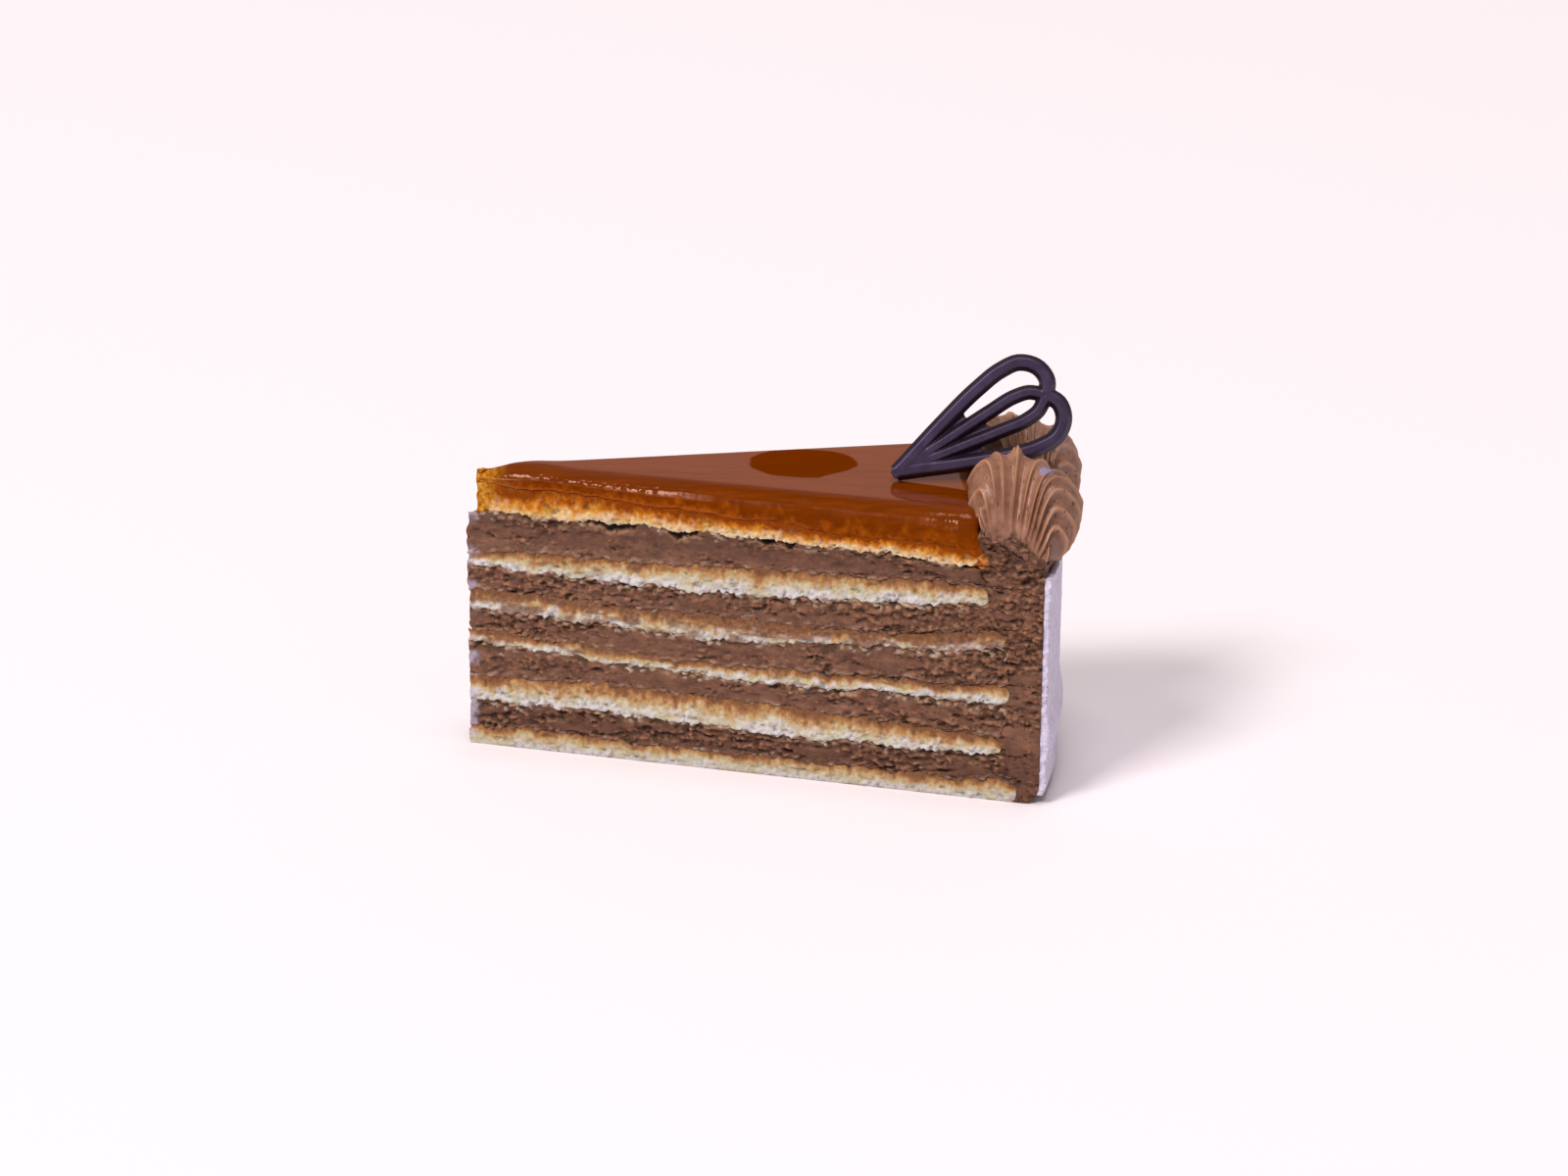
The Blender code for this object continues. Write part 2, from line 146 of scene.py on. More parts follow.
# Each piped shell: seed, centre across the slice, turn in degrees, how far its left side is drawn out,
# and the places in its fan where the cream pulled up into a small peak, as u, v and height
SHELLS = {
    "shell_near": (700, -12.6, -9, 0.0, ((-0.18, 0.66, 1.3), (-0.1, 0.7, 0.6))),
    "shell_far": (740, 10.4, 6, 1.6, ((0.15, 0.7, 0.8),)),
}
SHELL_X = 108.1
SHELL_WIDTH, SHELL_LENGTH = 22.2, 20.2
SHELL_TOP, SHELL_WAIST, SHELL_HEART = 69.6, 59.6, 57.0
SHELL_CRESTS = (-1.0, -0.93, -0.8, -0.6, -0.36, -0.11, 0.15, 0.38, 0.52, 0.64, 0.75, 0.85, 1.0)
RIDGE_HEIGHT = 1.0
SHELL_SWEEP = math.radians(142)
TAIL_SPREAD, TAIL_RISE = 11.0, 0.9
FOOT_OFFSET, FOOT_WIDTH, FOOT_LENGTH = 1.8, 15.0, 18.6
# Where a faint lilac sheen of reflected light is painted on the near shell
PAINTED_SHEEN_U, PAINTED_SHEEN_V = 0.34, 0.6

# The ornament lies flat along its own axes, tip first; its lines are drawn for one half
ORNAMENT_TIP = (83.7, -3.0, 60.3)
ORNAMENT_ALONG = (0.877, 0.182, 0.445)
ORNAMENT_ACROSS = (-0.458, 0.336, 0.823)
ORNAMENT_THICKNESS = 2.0
OUTER_ROD, OUTER_ROD_TOP = 3.3, 1.5
INNER_ROD, INNER_ROD_TOP = 2.9, 1.2
OUTER_LINE = (
    (0.0, 0.0), (5.0, 1.8), (12.0, 4.3), (21.6, 7.3), (26.7, 8.3),
    (30.7, 8.0), (33.5, 5.4), (33.9, 2.4), (32.4, 0.0),
)
INNER_LINE = ((0.0, 0.0), (12.0, 1.2), (21.0, 2.1), (27.2, 2.5), (29.5, 2.1), (32.4, 0.0))
NOSE_LINE = ((-1.1, 0.5), (-0.7, 1.0), (0.5, 1.25), (2.5, 1.6))
WEB_END, LEAF_START = 17.0, 20.0


# Repeatable noise


def scatter(x, y, z, seed):
    """A random value from 0 to 1 for each whole-number place."""
    mixed = x.astype(np.uint32) * np.uint32(374761393) + y.astype(np.uint32) * np.uint32(668265263)
    mixed = mixed + z.astype(np.uint32) * np.uint32(2246822519) + np.uint32(seed * 9973 + 17)
    for shift, factor in ((15, 2246822519), (13, 3266489917)):
        mixed = (mixed ^ (mixed >> np.uint32(shift))) * np.uint32(factor)
    return (mixed ^ (mixed >> np.uint32(16))) / 4294967296.0


def noise(x, y, z, seed):
    """Smooth noise from -1 to 1."""
    x, y, z = np.broadcast_arrays(*(np.asarray(axis, float) for axis in (x, y, z)))
    corner = [np.floor(axis).astype(np.int64) for axis in (x, y, z)]
    part = [axis - low for axis, low in zip((x, y, z), corner)]
    part = [p * p * p * (p * (6 * p - 15) + 10) for p in part]
    total = 0.0
    for i in (0, 1):
        for j in (0, 1):
            for k in (0, 1):
                share = (part[0] if i else 1 - part[0]) * (part[1] if j else 1 - part[1])
                share = share * (part[2] if k else 1 - part[2])
                total = total + share * scatter(corner[0] + i, corner[1] + j, corner[2] + k, seed)
    return 2 * total - 1


def fractal(x, y, z, seed, octaves=4):
    """Noise with finer and finer noise on top, about -1 to 1."""
    total, size, reach = 0.0, 1.0, 0.0
    for octave in range(octaves):
        scale = 2.03**octave
        total = total + size * noise(x * scale, y * scale, z * scale, seed + octave)
        reach += size
        size *= 0.55
    return total / reach * 1.6


def cells(x, y, seed):
    """Distance to the nearest of a set of scattered points, and that point's own random value."""
    low_x, low_y = np.floor(x).astype(np.int64), np.floor(y).astype(np.int64)
    nearest = np.full(x.shape, 9.0)
    value = np.zeros(x.shape)
    for i in (-1, 0, 1):
        for j in (-1, 0, 1):
            cell_x, cell_y = low_x + i, low_y + j
            zero = np.zeros_like(cell_x)
            spot_x = cell_x + scatter(cell_x, cell_y, zero, seed)
            spot_y = cell_y + scatter(cell_x, cell_y, zero + 1, seed)
            distance = np.hypot(x - spot_x, y - spot_y)
            closer = distance < nearest
            nearest = np.where(closer, distance, nearest)
            value = np.where(closer, scatter(cell_x, cell_y, zero + 2, seed), value)
    return nearest, value


def ease(low, high, value):
    """From 0 at the low end to 1 at the high one, which may lie below it, smooth at both."""
    part = np.clip((value - low) / (high - low), 0.0, 1.0)
    return part * part * (3 - 2 * part)


def hill(middle, width, value):
    """A soft hill, 1 high at its middle."""
    return np.exp(-(((value - middle) / width) ** 2))


def steps(count):
    return np.linspace(0, 1, count + 1)


def smooth_curve(knots, values, at):
    """Values on the smooth curve through the given knots."""
    knots, values = np.asarray(knots, float), np.asarray(values, float)
    slopes = np.gradient(values, knots)
    piece = np.clip(np.searchsorted(knots, at) - 1, 0, len(knots) - 2)
    span = knots[piece + 1] - knots[piece]
    part = (at - knots[piece]) / span
    return (
        values[piece] * (2 * part**3 - 3 * part**2 + 1)
        + slopes[piece] * span * (part**3 - 2 * part**2 + part)
        + values[piece + 1] * (3 * part**2 - 2 * part**3)
        + slopes[piece + 1] * span * (part**3 - part**2)
    )


# Meshes


def add_object(name, data):
    """A new object in the scene."""
    added = bpy.data.objects.new(name, data)
    bpy.context.scene.collection.objects.link(added)
    return added


def face_out(mesh):
    """Turns the faces of a closed mesh outward."""
    shape = bmesh.new()
    shape.from_mesh(mesh)
    bmesh.ops.recalc_face_normals(shape, faces=shape.faces)
    shape.to_mesh(mesh)
    shape.free()


def mesh_points(mesh):
    """A mesh's points in millimetres."""
    points = np.zeros(len(mesh.vertices) * 3, np.float32)
    mesh.vertices.foreach_get("co", points)
    return points.reshape(-1, 3).astype(float) / MM


def make_piece(name, points, quads, node, material, values):
    """A mesh piece that stands for a CAD node.

    points are millimetres from the tip of the slice; values are numbers for each, for the material."""
    points = (points.reshape(-1, 3) + np.array([TIP_X, 0, 0])) * MM
    mesh = bpy.data.meshes.new(name)
    mesh.vertices.add(len(points))
    mesh.vertices.foreach_set("co", points.astype(np.float32).ravel())
    mesh.loops.add(quads.size)
    mesh.loops.foreach_set("vertex_index", quads.astype(np.int32).ravel())
    mesh.polygons.add(len(quads))
    mesh.polygons.foreach_set("loop_start", np.arange(0, quads.size, quads.shape[1], dtype=np.int32))
    mesh.update(calc_edges=True)
    mesh.validate()
    face_out(mesh)
    for key, numbers in values.items():
        layer = mesh.attributes.new(key, "FLOAT", "POINT")
        layer.data.foreach_set("value", np.ascontiguousarray(numbers, dtype=np.float32).ravel())
    mesh.shade_smooth()
    mesh.materials.append(material)
    piece = add_object(name, mesh)
    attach(piece, "root")
    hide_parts(node)


def block_faces(shape):
    """Surface of a block of points: which points lie on it, and its quads."""
    keep = np.zeros(shape, bool)
    for axis in range(3):
        for end in (0, -1):
            side = [slice(None)] * 3
            side[axis] = end
            keep[tuple(side)] = True
    number = np.cumsum(keep).reshape(shape) - 1
    quads = []
    for axis in range(3):
        for end in (0, shape[axis] - 1):
            grid = np.take(number, end, axis=axis)
            corners = [grid[:-1, :-1], grid[1:, :-1], grid[1:, 1:], grid[:-1, 1:]]
            quads.append(np.stack(corners, -1).reshape(-1, 4))
    return keep, np.concatenate(quads)


def tube_faces(columns, ring):
    """Quads of a body made of closed rings of an even number of points; the end rings are closed across."""
    number = np.arange(columns * ring).reshape(columns, ring)
    following = np.roll(number, -1, axis=1)
    quads = [np.stack([number[:-1], number[1:], following[1:], following[:-1]], -1).reshape(-1, 4)]
    for line in (number[0], number[-1]):
        first, second = line[: ring // 2], line[::-1][: ring // 2]
        quads.append(np.stack([first[:-1], first[1:], second[1:], second[:-1]], -1))
    return np.concatenate(quads)


# The layers' boundaries, read from the solids


def cut_coordinates(points, side):
    """Radius along a cut face, and distance outside it."""
    along = points[:, 0] * COS_HALF + side * points[:, 1] * SIN_HALF
    outside = -points[:, 0] * SIN_HALF + side * points[:, 1] * COS_HALF
    return along, outside


def node_points(node):
    """A solid's points, in millimetres from the tip of the slice."""
    points = mesh_points(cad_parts[node].data)
    points[:, 0] -= TIP_X
    return points


def edge_heights(node, side):
    """Radii along a cut face, with the solid's lowest and highest point at each."""
    points = node_points(node)
    along, outside = cut_coordinates(points, side)
    on_face = (side * points[:, 1] > 0) & (np.abs(outside) < 0.8)
    radii = np.unique(np.round(along[on_face], 1))
    low, high = [], []
    for radius in radii:
        column = points[on_face & (np.abs(along - radius) < 0.12)][:, 2]
        low.append(column.min())
        high.append(column.max())
    return radii, np.array(low), np.array(high)


EDGES = {(name, side): edge_heights(name, side) for name in LAYERS for side in (NEAR, FAR)}
LAYER_END = {name: max(EDGES[name, NEAR][0].max(), EDGES[name, FAR][0].max()) for name in LAYERS}


def level_height(level, radius, side):
    """Height of the boundary under the layer of that number on a cut face, as wavy as a baked sheet."""
    if level == 0:
        return np.zeros_like(radius)
    parts = []
    if level < TOP_LEVEL:
        radii, low, _ = EDGES[LAYERS[level], side]
        parts.append(np.interp(radius, radii, low))
    radii, _, high = EDGES[LAYERS[level - 1], side]
    parts.append(np.interp(radius, radii, high))
    height = sum(parts) / len(parts)
    seed = 40 + level * 2 + side
    fine = 0.46 * fractal(radius / 2.2, level * 5.0, 0.0, seed, 4)
    fine = fine + 0.24 * noise(radius / 0.75, level * 3.0, 0.0, seed + 9)
    if level == TOP_LEVEL:
        fine = 0.45 * fractal(radius / 5.0, 1.0, 0.0, seed, 4)
    return height + fine


def layer_end(height):
    """Radius where the layers end and the rim's buttercream begins; the sponges end rounded and ragged."""
    bounds = [(EDGES[name, NEAR][1][-1], EDGES[name, NEAR][2][-1]) for name in LAYERS]
    middles = [(low + high) / 2 for low, high in bounds]
    end = np.interp(height, middles, [LAYER_END[name] for name in LAYERS])
    for name, (low, high) in zip(LAYERS, bounds):
        if name in SPONGES:
            off_middle = np.clip(np.abs(2 * (height - low) / (high - low) - 1), 0.0, 1.25)
            end = end - 1.1 * off_middle**3 * (off_middle < 1.25)
    return end + 0.3 * fractal(height / 1.1, 2.0, 0.0, 77, 3)


def at_places(table, level, radius):
    """The number from a table of sponges or of buttercream layers for a place on one of them."""
    return np.interp(radius, PLACES, table[level // 2])


# Relief and colour values of the cut faces


def cream_relief(radius, height, side, torn):
    """Buttercream on a cut: smooth where the knife slid, dragged into crumbly shreds where it tore."""
    seed = 100 + 20 * (side > 0)
    patches = 0.8 * fractal(radius / 12.0, height / 3.0, 0.0, seed) + torn - 0.25
    patches = patches + 0.45 * fractal(radius / 2.4, height / 0.9, 3.0, seed + 9, 3)
    rough = ease(-0.3, 0.5, patches)
    drift = fractal(radius / 5.0, height / 3.0, 4.0, seed + 1, 3)
    shreds = fractal(radius / 1.9 + drift, height / 0.8 + 0.7 * drift, 0.0, seed + 2, 4)
    crumbs = fractal(radius / 0.6, height / 0.5, 7.0, seed + 3, 2)
    distance, size = cells(radius / 1.5 + 0.6 * drift, height / 0.95, seed + 4)
    lumps = ease(0.62, 0.05, distance) * (size > 0.4)
    gash = ease(0.35, 0.8, fractal(radius / 2.6, height / 0.8, 11.0, seed + 5, 4))
    ragged = 0.5 * shreds + 0.14 * crumbs + 0.6 * lumps - 0.25 - 0.55 * gash
    knife = 0.06 * noise(radius / 22.0, height / 0.35, 2.0, seed + 6)
    knife = knife + 0.07 * fractal(radius / 1.6, height / 0.8, 3.0, seed + 7, 4)
    nick, nick_size = cells(radius / 2.0, height / 1.6, seed + 8)
    knife = knife - 0.2 * ease(0.2, 0.05, nick) * (nick_size > 0.5)
    return rough * ragged + (1 - rough) * knife, rough


def painted_tip_light(radius, height, seed, stretch, most):
    """Where the edge at the tip gets a painted lilac light."""
    edge = ease(2.6, 0.6, radius + 0.8 * noise(height / 0.7, radius / 0.7, 0.0, seed + 4))
    return edge * ease(-0.1, most, noise(height / stretch, 5.0, 0.0, seed))


def cream_values(radius, height, side, torn, near_sponge, under, opening):
    """Relief of buttercream and the values for its material.

    near_sponge is 1 where it touches a sponge, under 1 right below one where that one frays,
    and opening 1 where it has come away from one; under and opening are both painted darker as shade."""
    relief, rough = cream_relief(radius, height, side, torn)
    distance, size = cells(radius / 1.5, height / 0.9, 131 + side)
    bits = ease(0.6, 0.25, distance) * (size > 0.5) * (1 - opening) * np.maximum(0.8 * near_sponge, under)
    away = np.hypot((radius - LUMP_RADIUS) / 1.7, (height - LUMP_HEIGHT) / 1.4)
    away = away + 0.35 * fractal(radius / 0.9, height / 0.8, 0.0, 134, 3)
    lump = ease(1.05, 0.75, away) * (side == NEAR)
    under = under * (1 - bits)
    relief = relief + 0.3 * bits - 0.25 * under - 1.1 * opening + 0.6 * lump
    values = {"rough": rough, "bits": bits, "opening": opening, "lump": lump, "under": under}
    values["stained"] = near_sponge * ease(-0.5, 0.3, fractal(radius / 2.0, height / 0.9, 5.0, 135, 3))
    # A painted lilac light along the edge at the tip
    values["tip"] = painted_tip_light(radius, height, 132, 2.6, 0.5)
    values["deep"] = ease(*DARK_ABOVE, height) + 0.9 * ease(*DARK_BELOW, height)
    # How deep each point lies, for painted shade in hollows and a painted highlight on raised points
    values["hollow"] = hollows(relief)
    return relief, values


def sponge_relief(radius, height, side, smear, torn_edge):
    """Crumb on a cut: fine foam with a few soft pores, under thin smears of buttercream."""
    seed = 200 + 20 * (side > 0)
    foam = fractal(radius / 0.8, height / 0.75, 0.0, seed, 3)
    fine = noise(radius / 0.4, height / 0.4, 5.0, seed + 1)
    pores = ease(0.4, 0.95, fractal(radius / 2.0, height / 0.8, 9.0, seed + 2, 4))
    cover = fractal(radius / 4.2, height / 1.1, 2.0, seed + 3, 5) * 0.9 + 2 * smear - 1
    covered = ease(-0.2, 0.5, cover)
    relief = 0.16 * foam + 0.08 * fine - 0.2 * pores + 0.3 * torn_edge * foam
    return relief * (1 - 0.4 * covered) + 0.15 * covered, covered, pores


def hollows(relief):
    """How deep each point lies below its neighbourhood, on a grid."""
    spread = relief
    for _ in range(3):
        padded = np.pad(spread, 2, mode="edge")
        rows = sum(padded[i : i + relief.shape[0], 2:-2] for i in range(5)) / 5
        padded = np.pad(rows, 2, mode="edge")
        spread = sum(padded[2:-2, i : i + relief.shape[1]] for i in range(5)) / 5
    return spread - relief


def calmer_tip(radius):
    return 0.4 + 0.6 * ease(0.0, 4.0, radius)


def cream_fields(level, radius, height, share, side):
    """Relief outward from a cut through a buttercream layer, and the values that its material reads."""
    topmost = LAYERS[level] == TOP_CREAM
    near_sponge = ease(0.7, 1.0, share) + 0.6 * ease(0.22, 0.0, share)
    opening = 0.0 * radius
    # Openings under the caramel are sunk in and painted near-black as shade
    if topmost and side == NEAR:
        ragged = 0.5 * fractal(radius / 1.2, height / 0.8, 0.0, 150, 3)
        for place, half_length in OPENINGS:
            off = ((radius - place) / half_length) ** 2 + ((1 - share) / 0.2) ** 2
            opening = np.maximum(opening, ease(1.15, 0.8, off + ragged))
        parted = ease(-0.1, 0.3, noise(radius / 3.0, 0.0, 0.0, 151))
        opening = np.maximum(opening, 0.9 * parted * ease(0.86, 0.93, share + 0.1 * ragged))
    broken = ease(-0.35, 0.25, fractal(radius / 4.5, level * 2.0, 0.0, 152 + level, 3))
    # Right below a fraying sponge, painted darker as shade
    under = ease(0.7, 0.9, share + 0.12 * fractal(radius / 1.1, 0.0, 0.0, 160 + level, 3))
    under = under * broken * (0.4 if topmost else 1.0)
    torn = at_places(TORN, level, radius)
    relief, values = cream_values(radius, height, side, torn, near_sponge, under, opening)
    return relief * calmer_tip(radius), values


def sponge_fields(level, radius, height, share, side):
    """Relief outward from a cut through a sponge, and the values that its material reads."""
    topmost = LAYERS[level] == TOP_SPONGE
    seed = 300 + level
    ragged = 0.5 * fractal(radius / 2.4, height / 1.6, 1.0, seed, 4)
    ragged = ragged + 0.5 * fractal(radius / 0.9, height / 1.5, 2.0, seed + 60, 3)
    torn = fractal(radius / 1.0, height / 0.8, 3.0, seed + 20, 4)
    drift = 0.13 * fractal(radius / 5.0, level * 3.0, 0.0, seed + 50, 3)
    baked = share + at_places(BROWNED, level, radius) + 0.26 * ragged + drift
    edge = ease(-0.5, 0.2, fractal(radius / 3.4, height / 2.0, 6.0, seed + 40, 3))
    frayed = ease(0.55, 0.12, share + 0.26 * torn) * edge
    relief, covered, pores = sponge_relief(radius, height, side, at_places(SMEARED, level, radius), frayed)
    relief = relief * calmer_tip(radius) - 0.12 * ease(0.6, 1.0, baked) + 0.14 * frayed
    amber = ease(7.0, 3.2, radius + 1.2 * torn) * topmost
    relief = relief + 0.3 * ease(0.4, 1.0, share) * topmost + 0.35 * amber * torn
    values = {"baked": baked, "covered": covered, "pores": pores, "amber": amber}
    values["frayed"] = frayed * (1 - 0.85 * covered) * (0.6 if topmost else 1.0)
    # A painted lilac light along the edge at the tip
    values["tip"] = 0.7 * painted_tip_light(radius, height, 133, 2.2, 0.4) * (not topmost)
    values["dim"] = np.full(radius.shape, BASE_DIM * (level == 0))
    # How deep each point lies, for painted shade in hollows
    values["hollow"] = hollows(relief)
    return relief, values


def on_cut(radius, height, side, outward):
    """Points on a cut face, moved out from it."""
    x = radius * COS_HALF - outward * SIN_HALF
    y = side * (radius * SIN_HALF + outward * COS_HALF)
    return np.stack([x, y, height], -1)


def blend_sides(values, far_share, keep):
    """The values of both cuts blended into each other across the slice, for the kept points."""
    near, far = values[NEAR], values[FAR]
    return {key: (near[key][None] * (1 - far_share) + far[key][None] * far_share)[keep] for key in near}


def build_layer(level, material):
    """One sponge or buttercream layer, with both cut faces as fine relief."""
    name = LAYERS[level]
    thickness = np.mean(EDGES[name, NEAR][2] - EDGES[name, NEAR][1])
    rows = max(int(thickness / CELL), LEAST_ROWS)
    share, along = steps(rows)[None, :], steps(COLUMNS)[:, None]
    fields = cream_fields if name in CREAMS else sponge_fields
    faces, values = {}, {}
    tip = 0.15 + 0.5 * scatter(*(np.array([v]) for v in (level, 3, 5)), 7)[0] + 1.6 * (name == TOP_SPONGE)
    for side in (NEAR, FAR):
        by_rim = np.array([CAKE_RADIUS - 6.0])
        low_end, high_end = (level_height(level + i, by_rim, side)[0] for i in (0, 1))
        end = layer_end(low_end + (high_end - low_end) * share)
        ragged_tip = tip + 0.35 * noise(share * 4.0, level, side, 61)
        radius = ragged_tip + along * (end - ragged_tip)
        low, high = level_height(level, radius, side), level_height(level + 1, radius, side)
        height = low + (high - low) * share
        relief, values[side] = fields(level, radius, height, share + 0 * radius, side)
        if level == 0:
            relief = relief * ease(0.0, 0.8, height)
        faces[side] = on_cut(radius, height, side, relief)
    cross = steps(ACROSS)[:, None, None]
    points = faces[NEAR] * (1 - cross[..., None]) + faces[FAR] * cross[..., None]
    angle = np.arctan(points[:, -1, :, 1] / np.maximum(points[:, -1, :, 0], 1.0))
    reach = np.hypot(points[0, -1, :, 0], points[0, -1, :, 1])
    points[:, -1, :, 0] = reach * np.cos(angle)
    points[:, -1, :, 1] = reach * np.sin(angle)
    keep, quads = block_faces(points.shape[:3])
    blended = blend_sides(values, cross, keep)
    make_piece(name + "_cut", points[keep], quads, name, material, blended)


# Caramel, rim, shells and ornament


def rounding(profile, radius, reach):
    """Inset from the cut face and share of the thickness, for rows up and over an edge of the caramel."""
    rows = np.linspace(0, 1, GLAZE_EDGE_ROWS + 1)
    knots = np.linspace(0, 1, len(profile))
    inset, share = (smooth_curve(knots, column, rows)[None, :] + 0 * radius for column in zip(*profile))
    limit = reach * radius * SIN_HALF
    inset = np.where(inset > 0, inset / (1 + (np.maximum(inset, 0) / limit) ** 4) ** 0.25, inset)
    return inset, share


def glaze_values(points, thickness, rippled):
    """What the caramel's material reads; thickness is each point's share of it from the lip up."""
    along, across = points[..., 0], points[..., 1]
    mottle = fractal(along / 2.2, points[..., 2] / 2.0, 0, 430, 3)
    lip = ease(0.55, 0.0, thickness + 0.25 * mottle)
    lip = np.maximum(lip, ease(5.5, 2.6, along + 0.5 * mottle))
    patch_x, patch_y = ((part - middle) / half for part, middle, half in
                        zip((along, across), PATCH_CENTRE, PATCH_HALF))
    away = np.maximum(np.hypot(patch_x, patch_y), (0.75 * patch_x - 0.66 * patch_y) / 0.84)
    away = away + 0.04 * fractal(along / 4.0, across / 4.0, 0, 440, 2)
    dull = ease(1.03, 0.97, away) * (thickness > 0.9)
    still = ease(*CALM_START, along + mottle) * ease(*CALM_END, along)
    still = np.maximum(still, ease(0.62, 0.5, thickness) * ease(6.0, 12.0, along))
    still = still * ease(0.99, 0.95, thickness)
    values = {"lip": lip, "dull": dull, "still": np.maximum(dull, 0.85 * still), "lively": rippled}
    values["rind"] = ease(*RIND_FADE, along + 0.9 * mottle)
    # A painted highlight line along the lower edge of the lip, toward the tip
    values["painted_lip_highlight"] = hill(0.1, 0.05, thickness) * ease(*LIP_HIGHLIGHT_FADE, along + 6.0 * mottle)
    return values


def build_glaze(material):
    """Caramel, level on top: broadly rounded and rippled over the near cut, crisp on the far one."""
    radius = np.linspace(GLAZE_START, GLAZE_END, GLAZE_COLUMNS + 1)[:, None]
    at_end = ease(RIPPLED_END[1], GLAZE_END, radius)
    at_tip = ease(GLAZE_TIP_RISE, GLAZE_TIP_FLAT, radius)
    slump = np.clip((radius - (GLAZE_END - GLAZE_SLUMP)) / GLAZE_SLUMP, 0.0, 1.0)
    rounded_end = 1 - np.sqrt(1 - slump**3)
    top = GLAZE_TOP - GLAZE_TIP_SAG * at_tip + HUMP_HEIGHT * hill(HUMP_RADIUS, HUMP_WIDTH, radius)
    top = top - GLAZE_SLUMP_DEPTH * rounded_end
    lively = np.maximum(ease(*RIPPLED_TIP, radius), ease(*RIPPLED_END, radius))
    sides, shares, livelies = {}, {}, {}
    for side, profile, reach in ((NEAR, NEAR_ROUNDING, 1.75), (FAR, FAR_ROUNDING, 0.12)):
        seed = 400 + side
        inset, share = rounding(profile, radius, reach)
        low = level_height(TOP_LEVEL, radius, side) - 0.1 - 0.9 * ease(97.0, 101.5, radius)
        height = low + (top - low) * share
        drips = 0.3 * fractal(radius / 3.5, 0.0, 0.0, seed, 3) * ease(0.5, 0.05, share)
        ripple = fractal(radius / 1.1, share * 5.0, 3.0, seed + 3, 3)
        ripple = ripple * lively * (0.05 + 0.015 * ease(38.0, 24.0, radius))
        slow = 0.1 * fractal(radius / 9.0, share * 2.0, 7.0, seed + 6, 2)
        bumps = (ripple + slow) * hill(0.7, 0.15, share) + drips
        lip = 0.24 * hill(0.1, 0.07, share) * ease(*LIP_FADE, radius)
        tuck = 0.9 * ease(6.0, 2.0, radius) * (1 + fractal(share * 5.0, radius, 0, 450, 3))
        tuck = tuck + 1.4 * rounded_end
        slanted = radius - at_end * (1.6 * share - 0.7 + 0.25 * fractal(share * 4.0, 0.0, 0.0, 451, 3))
        sides[side] = on_cut(slanted, height, side, bumps + lip - inset - tuck * 0.5)
        shares[side] = share
        livelies[side] = lively * ease(0.98, 0.9, share) * ease(0.4, 0.6, share)
    across = steps(GLAZE_TOP_ROWS)[1:-1]
    near_edge, far_edge = sides[NEAR][:, -1:], sides[FAR][:, -1:]
    level_top = near_edge + (far_edge - near_edge) * across[None, :, None]
    swell = ease(0.0, 0.12, across) * ease(1.0, 0.88, across)
    waves = fractal(level_top[..., 0] / 11.0, level_top[..., 1] / 9.0, 0.0, 420, 2)
    level_top[..., 2] += 0.02 * waves * swell
    flat = np.ones((len(radius), len(across)))
    points, thickness, rippled = (
        np.concatenate([over[NEAR], middle, over[FAR][:, ::-1]], axis=1)
        for over, middle in ((sides, level_top), (shares, flat), (livelies, 0 * flat))
    )
    quads = tube_faces(*points.shape[:2])
    values = glaze_values(points, thickness, rippled)
    make_piece("caramel", points, quads, "caramel_glaze", material, values)


def rim_radius(height):
    """Outer radius of the buttercream, which rounds in at the bottom corner."""
    drop = np.clip(1 - height / RIM_CORNER, 0.0, 1.0)
    return CAKE_RADIUS - RIM_CORNER * (1 - np.sqrt(1 - drop**2)) * 0.75


def shelf_height(x):
    """The slope that the shells stand on."""
    return SHELF_INNER_Z + SHELF_SLOPE * (x - SHELF_INNER_X)


def swept(radius, height, turn):
    """Points round the rim, the turn going from -1 on the near cut to 1 on the far one."""
    angle = turn * HALF_ANGLE
    return np.stack([radius * np.cos(angle), radius * np.sin(angle), height + 0 * radius * angle], -1)


def build_rim_cream(material):
    """Buttercream between the ends of the layers and the rim, torn on the cuts and rounded at the bottom."""
    part = steps(RIM_COLUMNS)[None, :, None]
    share = steps(RIM_ROWS)[None, None, :]
    turn = np.linspace(-1, 1, RIM_TURNS + 1)[:, None, None]
    raised = np.interp(part, RAISED_PLACES, RAISED) + 0.7 * fractal(part * 6.0, 0.0, 0.0, 501, 3)
    raised = raised * hill(0.0, 1.8, (turn + 1) * HALF_ANGLE * CAKE_RADIUS)
    top = shelf_height((GLAZE_END + part * (CAKE_RADIUS - GLAZE_END)) * COS_HALF) - GAP / 2 + raised
    height = top * share
    inner = layer_end(height)
    radius = inner + part * (rim_radius(height) - inner)
    uneven = fractal(radius / 1.6, turn * 9.0, height / 1.6, 500, 3)
    lifted = height + 0.35 * uneven * share**30
    pushed = radius + 0.25 * uneven * part**12 * ease(0.3, 1.5, height)
    points = swept(pushed, lifted, turn)
    values = {}
    for side, end in ((NEAR, 0), (FAR, -1)):
        torn = np.interp(height[end], RIM_HEIGHTS, RIM_TORN)
        none = 0.0 * torn
        relief, values[side] = cream_values(radius[end], height[end], side, torn, none, none, none)
        points[end] = on_cut(radius[end], lifted[end], side, relief * ease(0.0, 0.8, height[end]))
    keep, quads = block_faces(points.shape[:3])
    blended = blend_sides(values, (turn + 1) / 2, keep)
    make_piece("rim_cream_cut", points[keep], quads, "rim_cream", material, blended)


